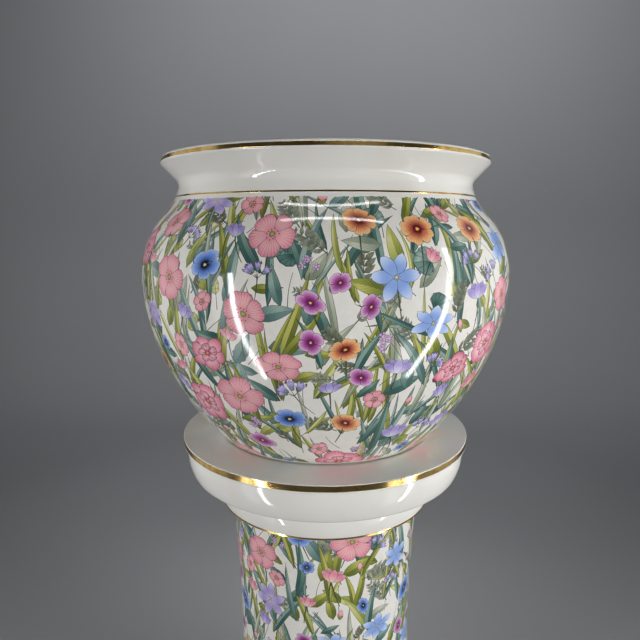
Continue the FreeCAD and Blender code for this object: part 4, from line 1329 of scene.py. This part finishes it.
def paint_frond(transfer, rng, spot, length, greens):
    """A bent stem with leaflets in pairs, longest in its middle."""
    bend = rng.uniform(-0.2, 0.2) * length
    paint_stem(transfer, spot, length, bend, 1.2, greens)
    for pair in range(1, FROND_PAIRS + 1):
        along = pair / (FROND_PAIRS + 0.5)
        turn, run = spot.put(length * along, bend * along**2, transfer.wall)
        reach = length * (0.12 + 0.26 * math.sin(math.pi * along**0.8))
        for side in (-1, 1):
            leaf_spot = Spot(turn, run, spot.heading + side * rng.uniform(0.75, 0.95))
            leaflet = softly_inked(leafy(reach, reach * 0.42, 0.75, 0.9, -side * 0.1 * reach))
            transfer.patch(leaf_spot, leaflet, greens, 3, 1, no_veins, 0.0)


def paint_heart_leaf(transfer, rng, spot, size, greens):
    dark, mid, light = greens
    shape = fan(size, 1.75, 0.42, 0.02, 5, rng.uniform(0, 6), -0.22)
    transfer.patch(spot, shape, (light, mid, mid, light, mid), 4, 8, petal_veins, 0.75)
    half = fan(size * 0.97, 1.6, 0.42, 0.0, 5, 0.0, -0.22)
    transfer.patch(spot, half, (dark, dark, mid, mid), 3, 4, petal_veins, 0.75, (0, 1))


# Each flower's painter, its size and, where the painter has more than one use, its colours.
BLOOMS = (
    (paint_wild_rose, 27.0),
    (paint_primrose, 20.0),
    (paint_ruffled, 28.0),
    (paint_blue_eye, 19.0),
    (paint_goblet, 27.0, CROCUS),
    (paint_wild_rose, 24.0),
    (paint_star, 25.0, CLEMATIS),
    (paint_primrose, 19.0),
    (paint_star, 25.0, SKY_STAR),
    (paint_magenta, 17.0),
    (paint_ruffled, 24.0),
    (paint_blue_eye, 18.0),
    (paint_goblet, 26.0, TULIP),
)
SMALL_BLOOMS = (
    (paint_magenta, 13.0),
    (paint_bell_spray, 19.0),
    (paint_bud, 17.0),
    (paint_goblet, 17.0, TULIP),
    (paint_blue_eye, 11.0),
    (paint_bell_spray, 17.0),
    (paint_filler, 10.5),
    (paint_wild_rose, 13.0),
    (paint_goblet, 19.0, CROCUS),
)
LEAF_FAMILIES = (LEAF_TEAL, LEAF_OLIVE, LEAF_SEA, LEAF_TEAL, LEAF_LIME, LEAF_OLIVE, LEAF_SAGE)
BLADE_FAMILIES = (LEAF_TEAL, LEAF_OLIVE, LEAF_SEA, LEAF_SAGE, LEAF_TEAL, LEAF_LIME, LEAF_OLIVE)
FROND_PAIRS = 6
UPRIGHT = math.pi / 2
# Gaps between the places where things grow, in millimetres.
BLOOM_GAP = 55.0
SMALL_GAP = 33.0
CLUMP_GAP = 27.0
LEAF_GAP = 24.0
WISP_GAP = 32.0
BLADE_START = 25
BLADE_LENGTH = (42, 95)
BLADE_WIDTH = (3.5, 11.0)
LEAF_LENGTH = (24, 46)
LEAF_SHARE = (0.27, 0.44)
HEART_LEAVES = 0.18
FRONDS = 0.20
WISP_LENGTH = (22, 48)
WISP_WIDTH = 0.8
STALK_LENGTH = (30, 48)
STALK_WIDTH = 1.8


class Bed:
    """Scattered places on a wall that keep their distance from one another."""

    def __init__(self, wall, rng):
        self.wall = wall
        self.rng = rng
        self.taken = []
        self.widest = float(wall.table[:, 0].max())

    def scatter(self, gap, tries, margin=4.0):
        found = []
        for _ in range(tries):
            turn = self.rng.uniform(0, FULL_TURN)
            run = self.rng.uniform(-margin, self.wall.length + margin)
            radius = float(self.wall.at(np.clip(run, 0, self.wall.length))[0])
            if self.rng.uniform(0, self.widest) > radius:
                continue
            if all(self.apart(turn, run, radius, other) > gap + other[3] for other in self.taken):
                self.taken.append((turn, run, radius, 0.0))
                found.append((turn, run))
        return found

    @staticmethod
    def apart(turn, run, radius, other):
        swing = (turn - other[0] + math.pi) % FULL_TURN - math.pi
        return math.hypot(swing * (radius + other[2]) / 2, run - other[1])


def grow_clump(rng, turn, run):
    """Two or three blades from one place, with what each is painted from."""
    sway = 0.30 * math.sin(3 * turn + run / 40) + rng.uniform(-0.45, 0.45)
    for _ in range(rng.choice((2, 2, 3))):
        heading = UPRIGHT + sway + rng.uniform(-0.38, 0.38)
        spot = Spot(turn + rng.uniform(-3, 3) / 200, run - BLADE_START, heading)
        length = rng.uniform(*BLADE_LENGTH)
        width = rng.uniform(*BLADE_WIDTH)
        bend = rng.uniform(-0.38, 0.38) * length
        yield paint_blade, (rng, spot, length, width, rng.choice(BLADE_FAMILIES), bend)


def grow_leaf(rng, turn, run):
    """A heart leaf, a frond or a plain leaf, with what it is painted from."""
    heading = UPRIGHT + rng.uniform(-1.7, 1.7)
    length = rng.uniform(*LEAF_LENGTH)
    width = length * rng.uniform(*LEAF_SHARE)
    spot = Spot(turn, run, heading)
    family = rng.choice(LEAF_FAMILIES)
    draw = rng.random()
    if draw < HEART_LEAVES:
        return paint_heart_leaf, (rng, spot, length * 0.45, family)
    if draw < HEART_LEAVES + FRONDS:
        return paint_frond, (rng, spot, length, rng.choice((LEAF_SAGE, FERN_GREY)))
    return paint_leaf, (rng, spot, length, width, family)


def paint_flower(transfer, rng, flower, spot, least, most):
    paint, size, *colours = flower
    paint(transfer, rng, spot, size * rng.uniform(least, most), *colours)


def paint_garden(transfer, seed):
    """Fills a transfer: blades and leaves first, then small flowers, then the large ones."""
    rng = random.Random(seed)
    wall = transfer.wall
    bed = Bed(wall, rng)
    blooms = bed.scatter(BLOOM_GAP, 5000)
    smalls = bed.scatter(SMALL_GAP, 6000)
    clumps = Bed(wall, rng).scatter(CLUMP_GAP, 6000, 40.0)
    leaves = Bed(wall, rng).scatter(LEAF_GAP, 6000, 10.0)
    wisps = Bed(wall, rng).scatter(WISP_GAP, 4000, 10.0)
    greens = []
    for turn, run in clumps:
        greens.extend(grow_clump(rng, turn, run))
    for turn, run in leaves:
        greens.append(grow_leaf(rng, turn, run))
    for turn, run in wisps:
        spot = Spot(turn, run, UPRIGHT + rng.uniform(-0.9, 0.9))
        length = rng.uniform(*WISP_LENGTH)
        greens.append((paint_stem, (spot, length, rng.uniform(-9, 9), WISP_WIDTH)))
    rng.shuffle(greens)
    for paint, details in greens:
        paint(transfer, *details)
    for turn, run in blooms:
        spot = Spot(turn, run, -UPRIGHT + rng.uniform(-0.5, 0.5))
        length = rng.uniform(*STALK_LENGTH)
        paint_stem(transfer, spot, length, rng.uniform(-10, 10), STALK_WIDTH)
    for turn, run in smalls:
        flower = SMALL_BLOOMS[rng.randrange(len(SMALL_BLOOMS))]
        heading = UPRIGHT + rng.uniform(-0.8, 0.8)
        spot = Spot(turn, run, heading, rng.uniform(0.7, 1.0), rng.uniform(0, math.pi))
        paint_flower(transfer, rng, flower, spot, 0.9, 1.12)
    rng.shuffle(blooms)
    for index, (turn, run) in enumerate(blooms):
        spot = Spot(turn, run, 0.0, rng.uniform(0.66, 1.0), rng.uniform(-0.6, 0.6))
        paint_flower(transfer, rng, BLOOMS[index % len(BLOOMS)], spot, 0.92, 1.10)


BOWL_BELLY = Section(((*BOWL_FOOT, 0), *BOWL_OUTER))
COLUMN_SHAFT = Section((COLUMN_SECTION[4], COLUMN_SECTION[5]))
# A print's node, body and wall, the heights it covers, its sheets and its seed.
TRANSFERS = (
    ("bowl_print", "bowl", BOWL_BELLY, (574.0, 866.7), 4, 31),
    ("column_print", "stand", COLUMN_SHAFT, (101.8, 474.5), 2, 57),
)
for name, body, section, (low, high), cuts, seed in TRANSFERS:
    transfer = Transfer(name, Wall(section, low, high))
    paint_garden(transfer, seed)
    transfer.pieces(body, name, cuts, -math.pi / 2 - math.pi / cuts)

# ---------------------------------------------------------------- sizes and the end

low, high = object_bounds()
sizes = {
    "cad_low": list(cad_low),
    "cad_high": list(cad_high),
    "visual_low": list(low),
    "visual_high": list(high),
}
